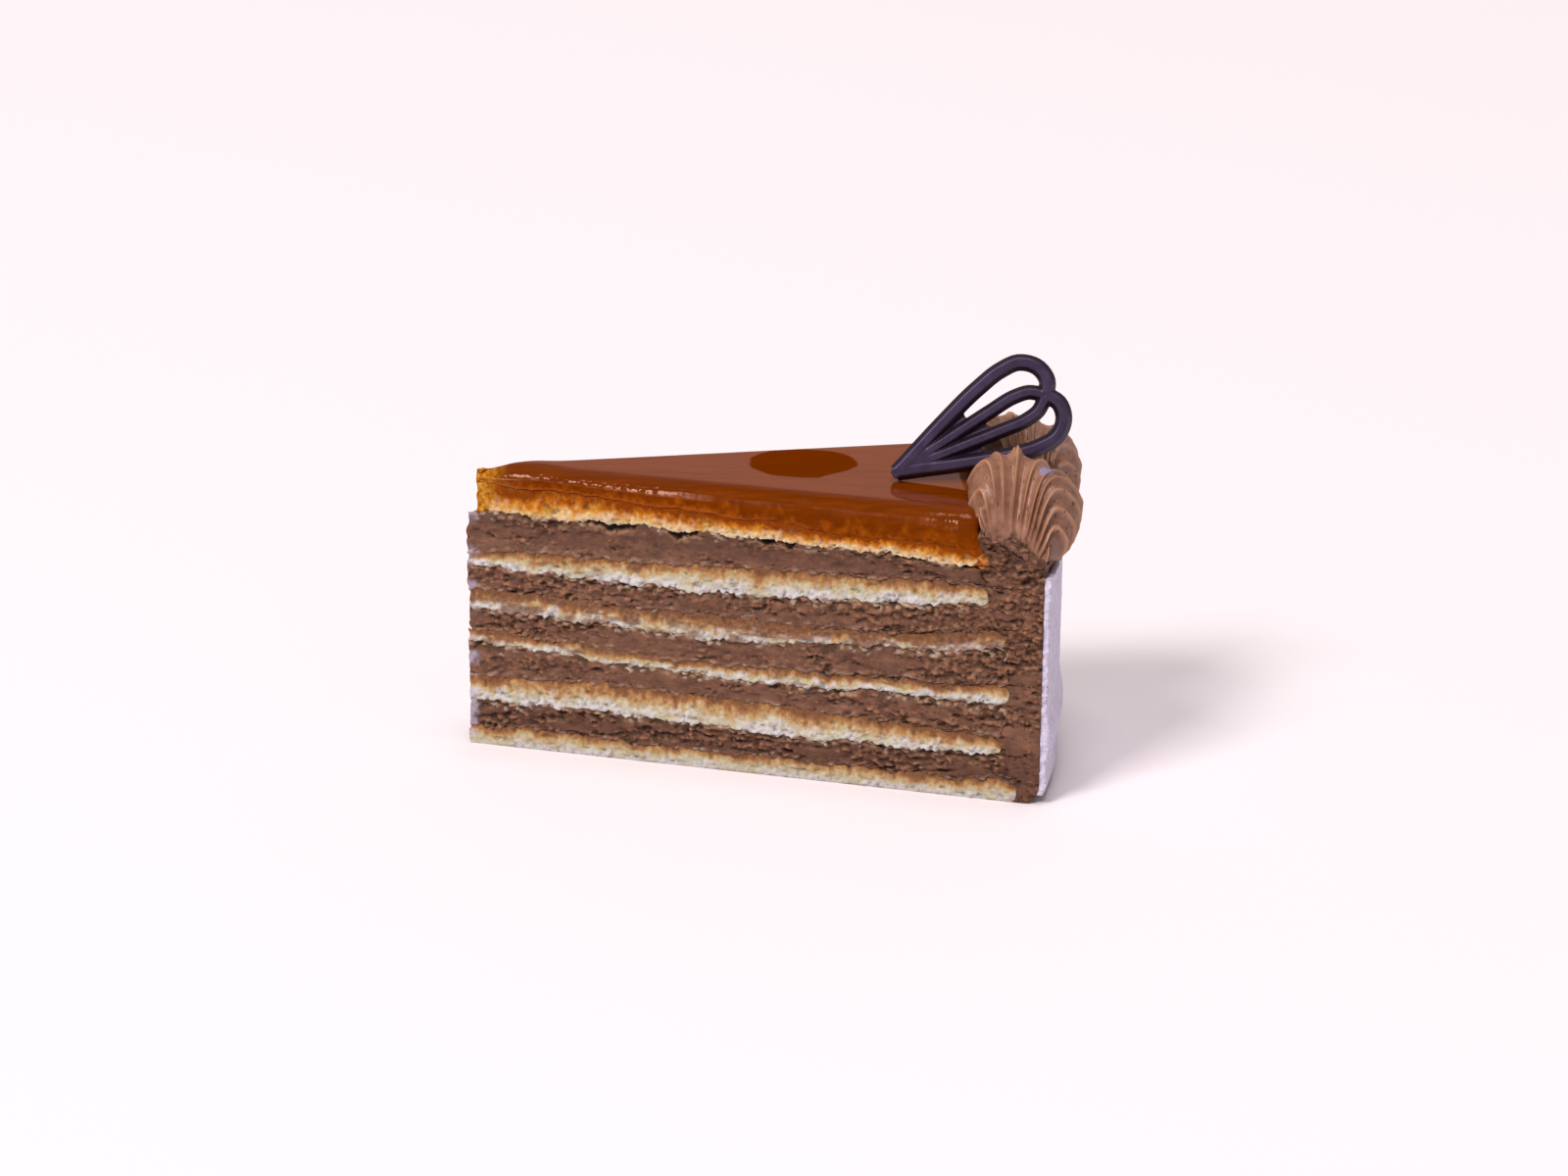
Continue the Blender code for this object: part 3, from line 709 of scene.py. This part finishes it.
def build_rim_coat(material):
    """The thin pale coat on the rim, finely pored, swelling low down, with worn edges."""
    share = steps(COAT_ROWS)[None, :]
    turn = np.linspace(-1, 1, COAT_TURNS + 1)[:, None]
    arc = turn * HALF_ANGLE * CAKE_RADIUS
    top = shelf_height((CAKE_RADIUS + 2) * np.cos(turn * HALF_ANGLE)) - GAP - 0.2
    top = top + 0.5 * fractal(arc / 3.0, 0.0, 0.0, 600, 3)
    foot = COAT_FOOT + 0.5 * fractal(arc / 3.0, 4.0, 0.0, 601, 3)
    height = foot + (top - foot) * share
    distance, size = cells(arc / 0.9 + 0 * height, height / 0.9, 602)
    pores = ease(0.3, 0.1, distance) * (size > 0.5)
    skin = 0.1 * fractal(arc / 4.0, height / 5.0, 0.0, 603, 4)
    skin = skin + 0.04 * noise(arc / 0.6, height / 0.6, 0.0, 604)
    swelling = BULGE_DEPTH * hill(BULGE_HEIGHT, BULGE_SPREAD, height)
    outer = rim_radius(height) + GAP + COAT_THICKNESS + swelling + skin - 0.16 * pores
    worn = np.maximum(0.35 * fractal(height / 1.5, turn, 0.0, 605, 3) + 0.3, 0.0) * (np.abs(turn) == 1)
    edge_turn = turn - np.sign(turn) * worn / (CAKE_RADIUS * HALF_ANGLE)
    sheets = [swept(radius, height, edge_turn) for radius in (rim_radius(height) + 0.08, outer)]
    points = np.stack(sheets, axis=1)
    keep, quads = block_faces(points.shape[:3])
    values = {"pores": np.stack([0 * pores, pores], axis=1)[keep]}
    make_piece("rim_coat_skin", points[keep], quads, "rim_coat", material, values)


def shell_surface(u, v):
    """Points of a piped shell round its own centre, with the crest value of its ridges.

    u runs from the left end of the fan to the right, v from the tail over the crest to the widest line."""
    half_width, half_length = SHELL_WIDTH / 2 - RIDGE_HEIGHT / 2, SHELL_LENGTH / 2
    sweep = SHELL_SWEEP * u
    tail_x = TAIL_SPREAD / 2 * u
    bend_x, bend_y = tail_x + 0.15 * half_width * u, half_length * (0.95 * (1.25 - np.abs(u)) - 1)
    rim_x, rim_y = half_width * np.sin(sweep), half_length * np.cos(sweep)
    x = tail_x * (1 - v) ** 2 + bend_x * 2 * v * (1 - v) + rim_x * v * v
    y = -half_length * (1 - v) ** 2 + bend_y * 2 * v * (1 - v) + rim_y * v * v
    front = ease(0.5, 1.0, np.abs(u))
    lowered = 1.2 + 5.8 * np.maximum(u, 0.0) + 3.6 * np.maximum(-u, 0.0)
    edge = SHELL_WAIST - 1.6 * rim_x / half_width - front * lowered
    crown = (SHELL_TOP - SHELL_WAIST) * (1 - 0.66 * front)
    start = shelf_height(SHELL_X + tail_x) + TAIL_RISE
    z = start + (edge - start) * ease(0.0, 1.0, v)
    z = z + crown * np.sin(np.pi * np.minimum(v**0.85, 1.0)) ** 0.8
    place = np.interp(u, SHELL_CRESTS, np.arange(len(SHELL_CRESTS)))
    from_crest = 1 - 2 * np.abs(place - np.floor(place) - 0.5)
    crest = 0.5 / (1 + (from_crest / 0.22) ** 2) + 0.5 * (1 - from_crest) ** 2
    return np.stack([x, y, z], -1), crest


def shell_relief(u, v, points, crest, seed):
    """How far a shell's ridged surface stands out, the noise that tears it, and its material's values."""
    strength = 1.15 + 0.3 * noise(u * 6.0, v * 2.0, 0.0, seed + 1)
    over_top = 1 - 0.3 * hill(0.62, 0.2, v)
    facet = ease(0.86, 0.9, u) * ease(0.35, 0.5, v)
    at_left = 1 - 0.75 * ease(-0.45, -0.7, u) * ease(0.55, 0.85, v)
    raised = RIDGE_HEIGHT * crest * strength * ease(0.0, 0.2, v) * over_top * at_left * (1 - facet)
    drag = 0.05 * fractal(u * 60.0, v * 5.0, 0.0, seed + 2, 3)
    grain = 0.06 * fractal(*(points[..., axis] / 0.8 for axis in range(3)), seed + 3, 3)
    ragged = fractal(points[..., 0] / 1.2, points[..., 2] / 0.9, 0.0, seed + 4, 4)
    tail = ease(0.06, 0.0, v + 0.03 * ragged)
    distance, size = cells(u * 16.0, v * 9.0, seed + 5)
    # Small pits, sunk in and painted darker as shade
    pits = ease(0.16, 0.06, distance) * (size > 0.8) * ease(1.0, 0.92, v)
    relief = raised * (1 - tail) + drag + grain + 0.4 * tail * ragged - 0.35 * pits
    # The crest value also paints a highlight along the ridges
    values = {"crest": crest * ease(0.02, 0.3, v), "tail": tail, "pits": pits, "facet": facet}
    # How deep each point lies, for painted shade down in the grooves
    values["hollow"] = hollows(relief)
    return relief, ragged, values


def shell_under(u, waist, turned, centre):
    """Rows from a shell's widest line in to its foot: creased at the left, round at the right."""
    narrowed = 1 - 0.45 * ease(0.3, 0.6, u)
    foot_x = FOOT_OFFSET + FOOT_WIDTH / 2 * np.sin(SHELL_SWEEP * u) * narrowed
    foot = np.stack([foot_x, FOOT_LENGTH / 2 * np.cos(SHELL_SWEEP * u)], -1) @ turned.T + centre
    foot_z = shelf_height(foot[..., 0])
    neck_z = np.minimum(GLAZE_TOP + 0.5 - 0.6 * (foot[..., 0] - SHELF_INNER_X), waist[..., 2] - 0.8)
    neck = np.concatenate([foot, np.maximum(neck_z, foot_z + 0.4)[..., None]], -1)
    base = np.concatenate([foot, foot_z[..., None]], -1)
    to_right = ease(0.25, 0.5, u)[..., None]
    rows = []
    for creased, drop, rounded in ((0.25, 0.4, 0.22), (0.5, 0.5, 0.45), (0.75, 0.3, 0.67), (1.0, 0.0, 0.88)):
        row = waist + (neck - waist) * creased - np.array([0, 0, drop])
        inward, down = 1 - math.cos(rounded * math.pi / 2), math.sin(rounded * math.pi / 2)
        belly = waist + (base - waist) * np.array([inward, inward, down])
        rows.append(row + (belly - row) * to_right)
    return [*rows, base]


def close_back(rows):
    """Closes the gap between the ends of a shell's fan with a tucked-in sheet; the count comes out even."""
    back = np.linspace(0, 1, SHELL_BACK_COLUMNS + 2)[1:-1, None, None]
    sheet = rows[-1:] * (1 - back) + rows[:1] * back
    tucked = np.sin(np.pi * back[..., 0]) ** 0.5
    floor = shelf_height(sheet[..., 0]) + 0.1
    sheet[..., 2] = np.maximum(sheet[..., 2] - 5.0 * tucked, np.minimum(floor, sheet[..., 2]))
    sheet[..., 1] += 1.5 * tucked
    rings = np.concatenate([rows, sheet])
    if len(rings) % 2:
        rings = np.concatenate([rings, (rings[-1:] + rings[:1]) / 2])
    return rings


def build_shell(node, material):
    """A piped shell of buttercream: sharp ridges fan from the tail and turn under all round."""
    seed, centre_y, turn, drawn_out, torn_peaks = SHELLS[node]
    u = np.linspace(-1, 1, SHELL_COLUMNS + 1)[:, None]
    v = steps(SHELL_ROWS)[None, :]
    bent = u + 0.015 * fractal(v * 2.5, u * 3.0, 0.0, seed, 2) * ease(0.1, 0.5, v)
    points, crest = shell_surface(np.clip(bent, -1, 1), v)
    relief, ragged, values = shell_relief(u, v, points, crest, seed)
    outward = points - np.array([0, 0, SHELL_HEART])
    outward = outward / np.linalg.norm(outward, axis=-1, keepdims=True)
    points = points + outward * relief[..., None]
    values["peaks"] = 0.0 * relief
    for peak_u, peak_v, peak_height in torn_peaks:
        peak = hill(peak_u, 0.06, u) * hill(peak_v, 0.07, v)
        points[..., 2] += peak_height * peak * (0.9 + 0.9 * ragged)
        values["peaks"] = np.maximum(values["peaks"], peak)
    # A faint lilac sheen of reflected light, painted on the near shell
    spot = ease(1.2, 0.8, np.hypot((u - PAINTED_SHEEN_U) / 0.09, (v - PAINTED_SHEEN_V) / 0.1))
    values["spot"] = spot * (node == "shell_near")
    left = ease(0.0, 0.4 * SHELL_WIDTH, -points[..., 0]) * ease(0.2, 0.7, v)
    points[..., 0] -= drawn_out * left
    turned = np.array(Matrix.Rotation(math.radians(turn), 2))
    centre = np.array([SHELL_X, centre_y])
    points[..., :2] = points[..., :2] @ turned.T + centre
    rows = np.concatenate([points, *shell_under(u, points[:, -1:], turned, centre)], axis=1)
    rings = close_back(rows)
    fill = ((0, len(rings) - len(points)), (0, rings.shape[1] - points.shape[1]))
    values = {key: np.pad(numbers, fill, mode="edge").T for key, numbers in values.items()}
    values["tail"][:, len(points):] = 1.0
    points = np.swapaxes(rings, 0, 1)
    quads = tube_faces(*points.shape[:2])
    make_piece(node + "_piped", points, quads, node, material, values)


def line_points(line, count):
    """Points along the smooth line through a few given ones."""
    line = np.array(line)
    travelled = np.concatenate([[0], np.cumsum(np.linalg.norm(np.diff(line, axis=0), axis=1))])
    at = np.linspace(0.0, travelled[-1], count)
    return np.stack([smooth_curve(travelled, line[:, axis], at) for axis in (0, 1)], -1)


def strip_mesh(edges):
    """A closed body along flat lines, each with its height."""
    rings = [np.concatenate([line, np.full((len(line), 1), height)], -1) for line, height in edges]
    points = np.stack(rings, axis=1)
    return points.reshape(-1, 3), tube_faces(*points.shape[:2])


def rod_mesh(line, width, top_width, low, high):
    """A moulded rod along a flat line: upright below, then tapering to a flat top."""
    direction = np.gradient(line, axis=0)
    direction = direction / np.linalg.norm(direction, axis=1, keepdims=True)
    sideways = np.stack([-direction[:, 1], direction[:, 0]], -1)
    shoulder = low + 0.35 * (high - low)
    profile = ((-width / 2, low), (-width / 2, shoulder), (-top_width / 2, high))
    profile += tuple((-side, height) for side, height in reversed(profile))
    return strip_mesh([(line + sideways * side, height) for side, height in profile])


def plate_mesh(upper, low, high):
    """A flat web between a line and its mirror image."""
    lower = upper * np.array([1, -1])
    return strip_mesh([(upper, low), (upper, high), (lower, high), (lower, low)])


def build_ornament(material):
    """The chocolate heart of moulded rods, joined by a thin web near its tip."""
    half = ORNAMENT_THICKNESS / 2
    outer, inner = line_points(OUTER_LINE, OUTER_COUNT), line_points(INNER_LINE, INNER_COUNT)
    mirror = np.array([1, -1])
    rods = ((outer, OUTER_ROD, OUTER_ROD_TOP, half), (inner, INNER_ROD, INNER_ROD_TOP, 0.9 * half))
    parts = [
        rod_mesh(line, width, top_width, -half, top)
        for upper, width, top_width, top in rods
        for line in (upper, upper * mirror)
    ]
    web, leaf = outer[outer[:, 0] < WEB_END], inner[inner[:, 0] < LEAF_START]
    for line, top in ((web[1:], -0.45), (leaf[1:], -0.3), (np.array(NOSE_LINE), 0.8)):
        parts.append(plate_mesh(line, -half, top * half))
    firsts = np.cumsum([0] + [len(points) for points, _ in parts])
    points = np.concatenate([points for points, _ in parts])
    quads = np.concatenate([quads + first for (_, quads), first in zip(parts, firsts)])
    mesh = bpy.data.meshes.new("rods")
    mesh.from_pydata((points * MM).tolist(), [], quads.tolist())
    face_out(mesh)
    body = add_object("rods", mesh)
    remesh = body.modifiers.new("remesh", "REMESH")
    remesh.mode = "VOXEL"
    remesh.voxel_size = ORNAMENT_VOXEL * MM
    smooth = body.modifiers.new("smooth", "SMOOTH")
    smooth.factor = 0.5
    smooth.iterations = 3
    joined = bpy.data.meshes.new_from_object(body.evaluated_get(bpy.context.evaluated_depsgraph_get()))
    bpy.data.objects.remove(body)
    flat = mesh_points(joined)
    corners = np.zeros(len(joined.loops), np.int32)
    joined.loops.foreach_get("vertex_index", corners)
    along = Vector(ORNAMENT_ALONG).normalized()
    facing = along.cross(Vector(ORNAMENT_ACROSS)).normalized()
    across = facing.cross(along)
    placed = flat @ np.array([list(along), list(across), list(facing)]) + np.array(ORNAMENT_TIP)
    # The tops of the rods, which the material paints lighter and lilac as sheen
    values = {"face": ease(0.5 * half, 0.9 * half, flat[:, 2])}
    node = "chocolate_ornament"
    make_piece("chocolate_heart", placed, corners.reshape(-1, 4), node, material, values)


# Materials


def tone(red, green, blue, gain=1.0):
    """A colour as the eye sees it, 0 to 255, as the linear colour that a shader takes."""
    linear = []
    for value in (red, green, blue):
        part = value / 255
        part = part / 12.92 if part <= 0.04045 else ((part + 0.055) / 1.055) ** 2.4
        linear.append(min(part * gain, 1.0))
    return (*linear, 1.0)


class Shader:
    """Short ways to wire a Principled material. Its colours are given as the eye sees them, 0 to 255."""

    def __init__(self, name, roughness):
        self.material = bpy.data.materials.new(name)
        self.material.use_nodes = True
        self.tree = self.material.node_tree
        self.surface = self.tree.nodes["Principled BSDF"]
        self.colour = None
        self.place = self.node("TexCoord", "Object")
        self.set(Roughness=roughness)

    def feed(self, socket, source):
        """Links a socket to another node's output, or sets it to a value."""
        if isinstance(source, bpy.types.NodeSocket):
            self.tree.links.new(source, socket)
        else:
            socket.default_value = source

    def node(self, kind, output, inputs=(), **settings):
        """Adds a node, sets or links its inputs, and gives one of its outputs."""
        node = self.tree.nodes.new("ShaderNode" + kind)
        for name, setting in settings.items():
            setattr(node, name, setting)
        for key, source in dict(inputs).items():
            self.feed(node.inputs[key], source)
        return node.outputs[output]

    def set(self, **sockets):
        for name, source in sockets.items():
            self.feed(self.surface.inputs[name.replace("_", " ")], source)

    def value(self, name):
        return self.node("Attribute", "Fac", attribute_name=name)

    def noise(self, size_mm, detail=3.0, roughness=0.55, stretch=None):
        """Noise with blobs of about the given size, shorter along an axis with a stretch above 1."""
        place = self.place
        if stretch:
            place = self.node("Mapping", "Vector", {"Vector": place, "Scale": stretch})
        inputs = {"Vector": place, "Scale": 1 / (size_mm * MM), "Detail": detail, "Roughness": roughness}
        return self.node("TexNoise", "Fac", inputs)

    def ramp(self, factor, *stops):
        """Colours, or plain numbers, at stops along a factor."""
        colours = self.node("ValToRGB", "Color", {"Fac": factor})
        elements = colours.node.color_ramp.elements
        while len(elements) < len(stops):
            elements.new(0.5)
        for element, (place, colour) in zip(elements, stops):
            element.position = place
            element.color = tone(*colour) if isinstance(colour, tuple) else (colour, colour, colour, 1)
        return colours

    def times(self, first, second, plus=0.0):
        return self.node("Math", 0, enumerate((first, second, plus)), operation="MULTIPLY_ADD")

    def lay(self, factor, paint, blend="MIX"):
        """Lays a paint over the colour so far."""
        paint = tone(*paint) if isinstance(paint, tuple) else paint
        inputs = {0: factor, 6: self.colour, 7: paint}
        self.colour = self.node("Mix", 2, inputs, data_type="RGBA", blend_type=blend)

    def tint(self, value, share, paint):
        """Lays a share of a paint where one of the mesh's values says so."""
        self.lay(self.times(self.value(value), share), paint)

    def darken(self, factor):
        self.lay(1.0, factor, "MULTIPLY")

    def bump(self, height, depth_mm, strength=1.0):
        inputs = {"Height": height, "Distance": depth_mm * MM, "Strength": strength}
        self.set(Normal=self.node("Bump", "Normal", inputs))

    def finished(self, **sockets):
        """The material, with its colour and its last sockets wired in."""
        self.set(Base_Color=self.colour, **sockets)
        return self.material


def sponge_material(name, tones, smears, white, gloss):
    """Crumb: pale within, browning toward its upper edge, whitish where the lower edge frays.

    tones are the colours from the lower edge to the upper one."""
    shader = Shader(name, 0.85)
    grain = shader.times(shader.noise(0.9, 4.0, 0.65), 0.5, -0.5)
    grain = shader.times(shader.noise(1.6, 3.0, 0.6, (1.3, 1.3, 0.6)), 0.5, grain)
    baked = shader.times(shader.value("baked"), 1.0, grain)
    shader.colour = shader.ramp(baked, *zip((0.05, 0.36, 0.56, 0.76, 0.98), tones))
    speckle = shader.noise(0.85, 3.0, 0.7, (0.8, 0.8, 1.2))
    pale = shader.ramp(baked, (0.36, 1.0), (0.56, 0.0))
    light = shader.ramp(speckle, (0.54, 0.0), (0.66, 0.75))
    dark = shader.ramp(speckle, (0.34, 0.6), (0.44, 0.0))
    shader.lay(shader.times(light, pale), white)
    shader.lay(shader.times(dark, pale), (150, 132, 78))
    # Pores painted darker, as shade
    shader.tint("pores", 0.5, (128, 108, 66))
    shader.tint("covered", 0.9, shader.ramp(shader.noise(0.8, 4.0), *zip((0.35, 0.65), smears)))
    shader.tint("frayed", 0.75, white)
    # Painted lilac light along the edge at the tip
    shader.tint("tip", 1.0, (200, 192, 216))
    rind = shader.ramp(shader.noise(0.8, 4.0, 0.7), (0.4, (176, 102, 12)), (0.6, (222, 162, 62)))
    shader.tint("amber", 1.0, rind)
    shader.tint("dim", 1.0, (150, 116, 90))
    # Painted shade in the hollows of the relief
    shader.darken(shader.ramp(shader.value("hollow"), (0.0, 1.0), (0.4, 0.5)))
    shader.bump(shader.noise(0.35, 3.0, 0.7), 0.1, 0.7)
    return shader.finished(Subsurface_Weight=0.15, Subsurface_Scale=0.0009, Specular_IOR_Level=gloss)


def cream_material():
    """Chocolate buttercream, smooth and a little greasy; where torn, painted shade in gaps and hollows and
    painted highlight on crumbs.
    """
    shader = Shader("buttercream_cut", 0.5)
    base = shader.noise(2.4, 5.0, 0.65, (0.7, 0.7, 1.3))
    shader.colour = shader.ramp(base, (0.34, (94, 61, 46)), (0.5, (112, 75, 57)), (0.68, (134, 92, 71)))
    # Where torn: dark gaps painted as shade, and lighter crumbs painted as highlight
    gap_shade = shader.ramp(shader.noise(1.7, 4.0, 0.6, (0.6, 0.6, 1.5)), (0.36, 1.0), (0.46, 0.0))
    torn = shader.times(shader.value("rough"), 0.6, 0.2)
    shader.lay(shader.times(gap_shade, torn), (57, 34, 23))
    crumbs = shader.ramp(shader.noise(1.2, 3.0, 0.6, (0.8, 0.8, 1.4)), (0.53, 0.0), (0.66, 1.0))
    torn = shader.times(shader.value("rough"), 0.5, 0.15)
    shader.lay(shader.times(crumbs, torn), (176, 122, 88))
    shader.tint("stained", 0.55, (150, 106, 76))
    # Painted shade right below fraying sponge edges
    shader.tint("under", 0.6, (78, 58, 36))
    shader.tint("deep", 0.42, (76, 44, 31))
    crumb = shader.ramp(shader.noise(1.0, 3.0), (0.4, (182, 140, 98)), (0.6, (218, 202, 190)))
    shader.tint("bits", 0.85, crumb)
    # Painted shade in the hollows, and a painted highlight on raised points
    shader.darken(shader.ramp(shader.value("hollow"), (0.0, 1.0), (0.4, 0.42)))
    raised = shader.times(shader.value("hollow"), -1.0)
    shader.lay(shader.ramp(raised, (0.08, 0.0), (0.4, 0.5)), (178, 126, 94))
    # Painted lilac light along the edge at the tip
    shader.tint("tip", 0.7, (188, 178, 202))
    candy = shader.ramp(shader.noise(0.8, 3.0), (0.4, (150, 72, 10)), (0.6, (206, 132, 62)))
    shader.tint("lump", 1.0, candy)
    # Openings painted near-black, as shade
    shader.tint("opening", 1.0, (34, 18, 8))
    shader.set(Roughness=shader.ramp(shader.value("rough"), (0.0, 0.45), (1.0, 0.65)))
    shader.bump(shader.noise(0.4, 4.0, 0.7), 0.1, 0.7)
    return shader.finished(Specular_IOR_Level=0.25)


def shell_material():
    """Piped buttercream: warm brown, with a painted highlight along its crests and painted shade down in the
    grooves.
    """
    shader = Shader("buttercream_piped", 0.38)
    shader.colour = shader.ramp(shader.noise(3.0, 5.0, 0.6), (0.35, (140, 92, 68)), (0.68, (166, 118, 94)))
    # Painted highlight along the crests
    crest = shader.value("crest")
    shader.lay(shader.times(shader.times(crest, crest), shader.times(crest, 0.8)), (198, 142, 104))
    # Painted shade down in the grooves
    shader.darken(shader.ramp(shader.value("hollow"), (0.0, 1.0), (0.22, 0.4)))
    rough = shader.noise(0.9, 4.0, 0.7)
    torn = shader.ramp(rough, (0.36, (84, 54, 40)), (0.5, (116, 78, 60)), (0.66, (156, 110, 84)))
    shader.tint("tail", 1.0, torn)
    # Pits painted darker, as shade
    shader.tint("pits", 1.0, (70, 42, 32))
    shader.tint("facet", 0.6, (112, 78, 64))
    shader.tint("peaks", 0.7, (182, 126, 92))
    # A painted lilac sheen of reflected light
    shader.tint("spot", 0.8, (150, 138, 176))
    shader.bump(shader.noise(0.6, 4.0, 0.65), 0.08, 0.7)
    return shader.finished(Specular_IOR_Level=0.55)


def caramel_material():
    """Caramel: deep amber-brown with a wet gloss, a little clearer along its lip, dull in one oval patch."""
    shader = Shader("caramel_glaze", 0.08)
    streaks = shader.noise(1.0, 3.0, 0.6, (0.08, 1.0, 1.0))
    shader.colour = shader.ramp(streaks, (0.3, (99, 39, 0)), (0.7, (118, 50, 0)))
    shader.tint("lip", 1.0, shader.ramp(shader.noise(1.2, 4.0), (0.35, (120, 50, 0)), (0.65, (158, 78, 10))))
    # A painted highlight line along the lower edge, toward the tip
    shader.tint("painted_lip_highlight", 0.6, (170, 86, 40))
    crumbly = shader.ramp(shader.noise(0.8, 4.0, 0.7), (0.4, (166, 92, 6)), (0.62, (220, 152, 44)))
    shader.tint("rind", 0.8, crumbly)
    shader.tint("dull", 0.8, (102, 40, 0))
    rough = shader.ramp(shader.value("still"), (0.0, 0.06), (1.0, 0.3))
    shader.set(Roughness=shader.times(shader.value("lively"), 0.05, rough))
    shader.set(Specular_IOR_Level=shader.ramp(shader.value("still"), (0.0, 0.24), (1.0, 0.0)))
    shader.bump(shader.times(shader.noise(1.1, 2.0), shader.value("lively")), 0.05)
    return shader.finished(Specular_Tint=(1.0, 0.6, 0.45, 1), IOR=1.5)


def coat_material():
    """The pale coat on the rim: lilac-grey, finely pored, with a few brown and yellow specks."""
    shader = Shader("rim_coat_skin", 0.6)
    shader.colour = shader.ramp(shader.noise(2.6, 4.0), (0.35, (212, 203, 226)), (0.65, (226, 217, 239)))
    shader.darken(shader.ramp(shader.noise(0.45, 3.0, 0.7), (0.36, 0.76), (0.5, 1.0)))
    # Pores painted darker, as shade
    shader.tint("pores", 0.5, (160, 142, 152))
    shader.lay(shader.ramp(shader.noise(1.1, 2.0), (0.66, 0.0), (0.74, 0.8)), (176, 138, 92))
    shader.bump(shader.noise(0.35, 3.0, 0.7), 0.06, 0.6)
    return shader.finished()


def chocolate_material():
    """Dark chocolate, nearly black with a cool gloss, its rod tops painted lighter and lilac as sheen, and a
    faint bloom.
    """
    shader = Shader("dark_chocolate", 0.32)
    shader.colour = shader.ramp(shader.noise(3.0), (0.35, (20, 11, 16)), (0.7, (32, 22, 32)))
    # The tops of the rods painted lighter and lilac, as sheen
    shader.tint("face", 1.0, shader.ramp(shader.noise(3.0), (0.35, (46, 35, 54)), (0.7, (60, 48, 70))))
    shader.set(Roughness=shader.ramp(shader.noise(1.5, 4.0), (0.3, 0.36), (0.7, 0.46)))
    shader.bump(shader.noise(0.6), 0.03, 0.5)
    return shader.finished(Specular_Tint=(0.8, 0.64, 1.0, 1), Specular_IOR_Level=0.6)


SPONGE = sponge_material(
    "sponge_crumb",
    tones=((208, 201, 182), (206, 195, 160), (198, 164, 114), (172, 120, 74), (134, 90, 60)),
    smears=((100, 66, 50), (150, 106, 78)),
    white=(219, 213, 217),
    gloss=0.2,
)
SOAKED = sponge_material(
    "soaked_crumb",
    tones=((228, 206, 174), (230, 184, 108), (216, 146, 54), (188, 105, 18), (140, 64, 0)),
    smears=((150, 84, 20), (190, 120, 50)),
    white=(230, 212, 190),
    gloss=0.1,
)
CREAM = cream_material()
PIPED = shell_material()

for level, layer in enumerate(LAYERS):
    build_layer(level, SOAKED if layer == TOP_SPONGE else SPONGE if layer in SPONGES else CREAM)
build_rim_cream(CREAM)
build_glaze(caramel_material())
build_rim_coat(coat_material())
for shell in SHELLS:
    build_shell(shell, PIPED)
build_ornament(chocolate_material())


# Floor, camera and light

PHOTO_WIDTH, PHOTO_HEIGHT = 1600, 1200
CAMERA_ELEVATION, CAMERA_AZIMUTH, CAMERA_ROLL = (math.radians(angle) for angle in (22.19, 2.22, 0.56))
CAMERA_DISTANCE = 1200.0
FOCAL_PIXELS = 6244.0
AIM = (55.0, 0.0, 25.0)
AIM_PIXEL = (762.9, 644.7)
SENSOR_WIDTH = 36.0
FLOOR_HALF = 4.0
LIGHTS_AIM = (0, 0, 30)


def build_camera():
    """The photo's view: a long lens a little above the slice, with its small roll."""
    turns = ((CAMERA_AZIMUTH, "Z"), (math.pi / 2 - CAMERA_ELEVATION, "X"), (CAMERA_ROLL, "Z"))
    azimuth, tilt, roll = (Matrix.Rotation(angle, 4, axis) for angle, axis in turns)
    turned = azimuth @ tilt @ roll
    place = Vector(AIM) + Vector((TIP_X, 0, 0)) + turned @ Vector((0, 0, CAMERA_DISTANCE))
    camera = add_object("camera", bpy.data.cameras.new("camera"))
    camera.data.sensor_width = SENSOR_WIDTH
    camera.data.lens = FOCAL_PIXELS / PHOTO_WIDTH * SENSOR_WIDTH
    camera.data.shift_x = (PHOTO_WIDTH / 2 - AIM_PIXEL[0]) / PHOTO_WIDTH
    camera.data.shift_y = (AIM_PIXEL[1] - PHOTO_HEIGHT / 2) / PHOTO_WIDTH
    camera.matrix_world = Matrix.Translation(place * MM) @ turned
    bpy.context.scene.camera = camera


def build_floor():
    mesh = bpy.data.meshes.new("floor")
    corners = [(x * FLOOR_HALF, y * FLOOR_HALF, 0) for x, y in ((-1, -1), (1, -1), (1, 1), (-1, 1))]
    mesh.from_pydata(corners, [], [(0, 1, 2, 3)])
    shader = Shader("floor", 0.9)
    shader.set(Base_Color=tone(255, 246, 249, 0.9), Specular_IOR_Level=0.0)
    mesh.materials.append(shader.material)
    floor = add_object("floor", mesh)


def area_light(name, place_mm, width, height, power, colour):
    """A soft light of a size in metres, turned to the slice."""
    light = bpy.data.lights.new(name, "AREA")
    light.shape = "RECTANGLE"
    light.size = width
    light.size_y = height
    light.energy = power
    light.color = colour
    lamp = add_object(name, light)
    lamp.location = Vector(place_mm) * MM
    lamp.rotation_euler = (Vector(LIGHTS_AIM) * MM - lamp.location).to_track_quat("-Z", "Y").to_euler()


def build_light():
    world = bpy.data.worlds.new("studio")
    bpy.context.scene.world = world
    world.use_nodes = True
    background = world.node_tree.nodes["Background"]
    background.inputs["Color"].default_value = (1.0, 0.965, 0.98, 1)
    background.inputs["Strength"].default_value = 0.28
    area_light("key", (-2600, -2900, 4400), 1.6, 1.6, 226.0, (1.0, 0.98, 0.97))
    area_light("top", (300, -300, 5400), 2.2, 2.2, 125.0, (1.0, 0.97, 0.98))
    area_light("panel", (0, 3000, 1060), 3.2, 1.0, 5.8, (1.0, 0.42, 0.26))


build_camera()
build_floor()
build_light()
bpy.context.scene.view_settings.view_transform = "Standard"
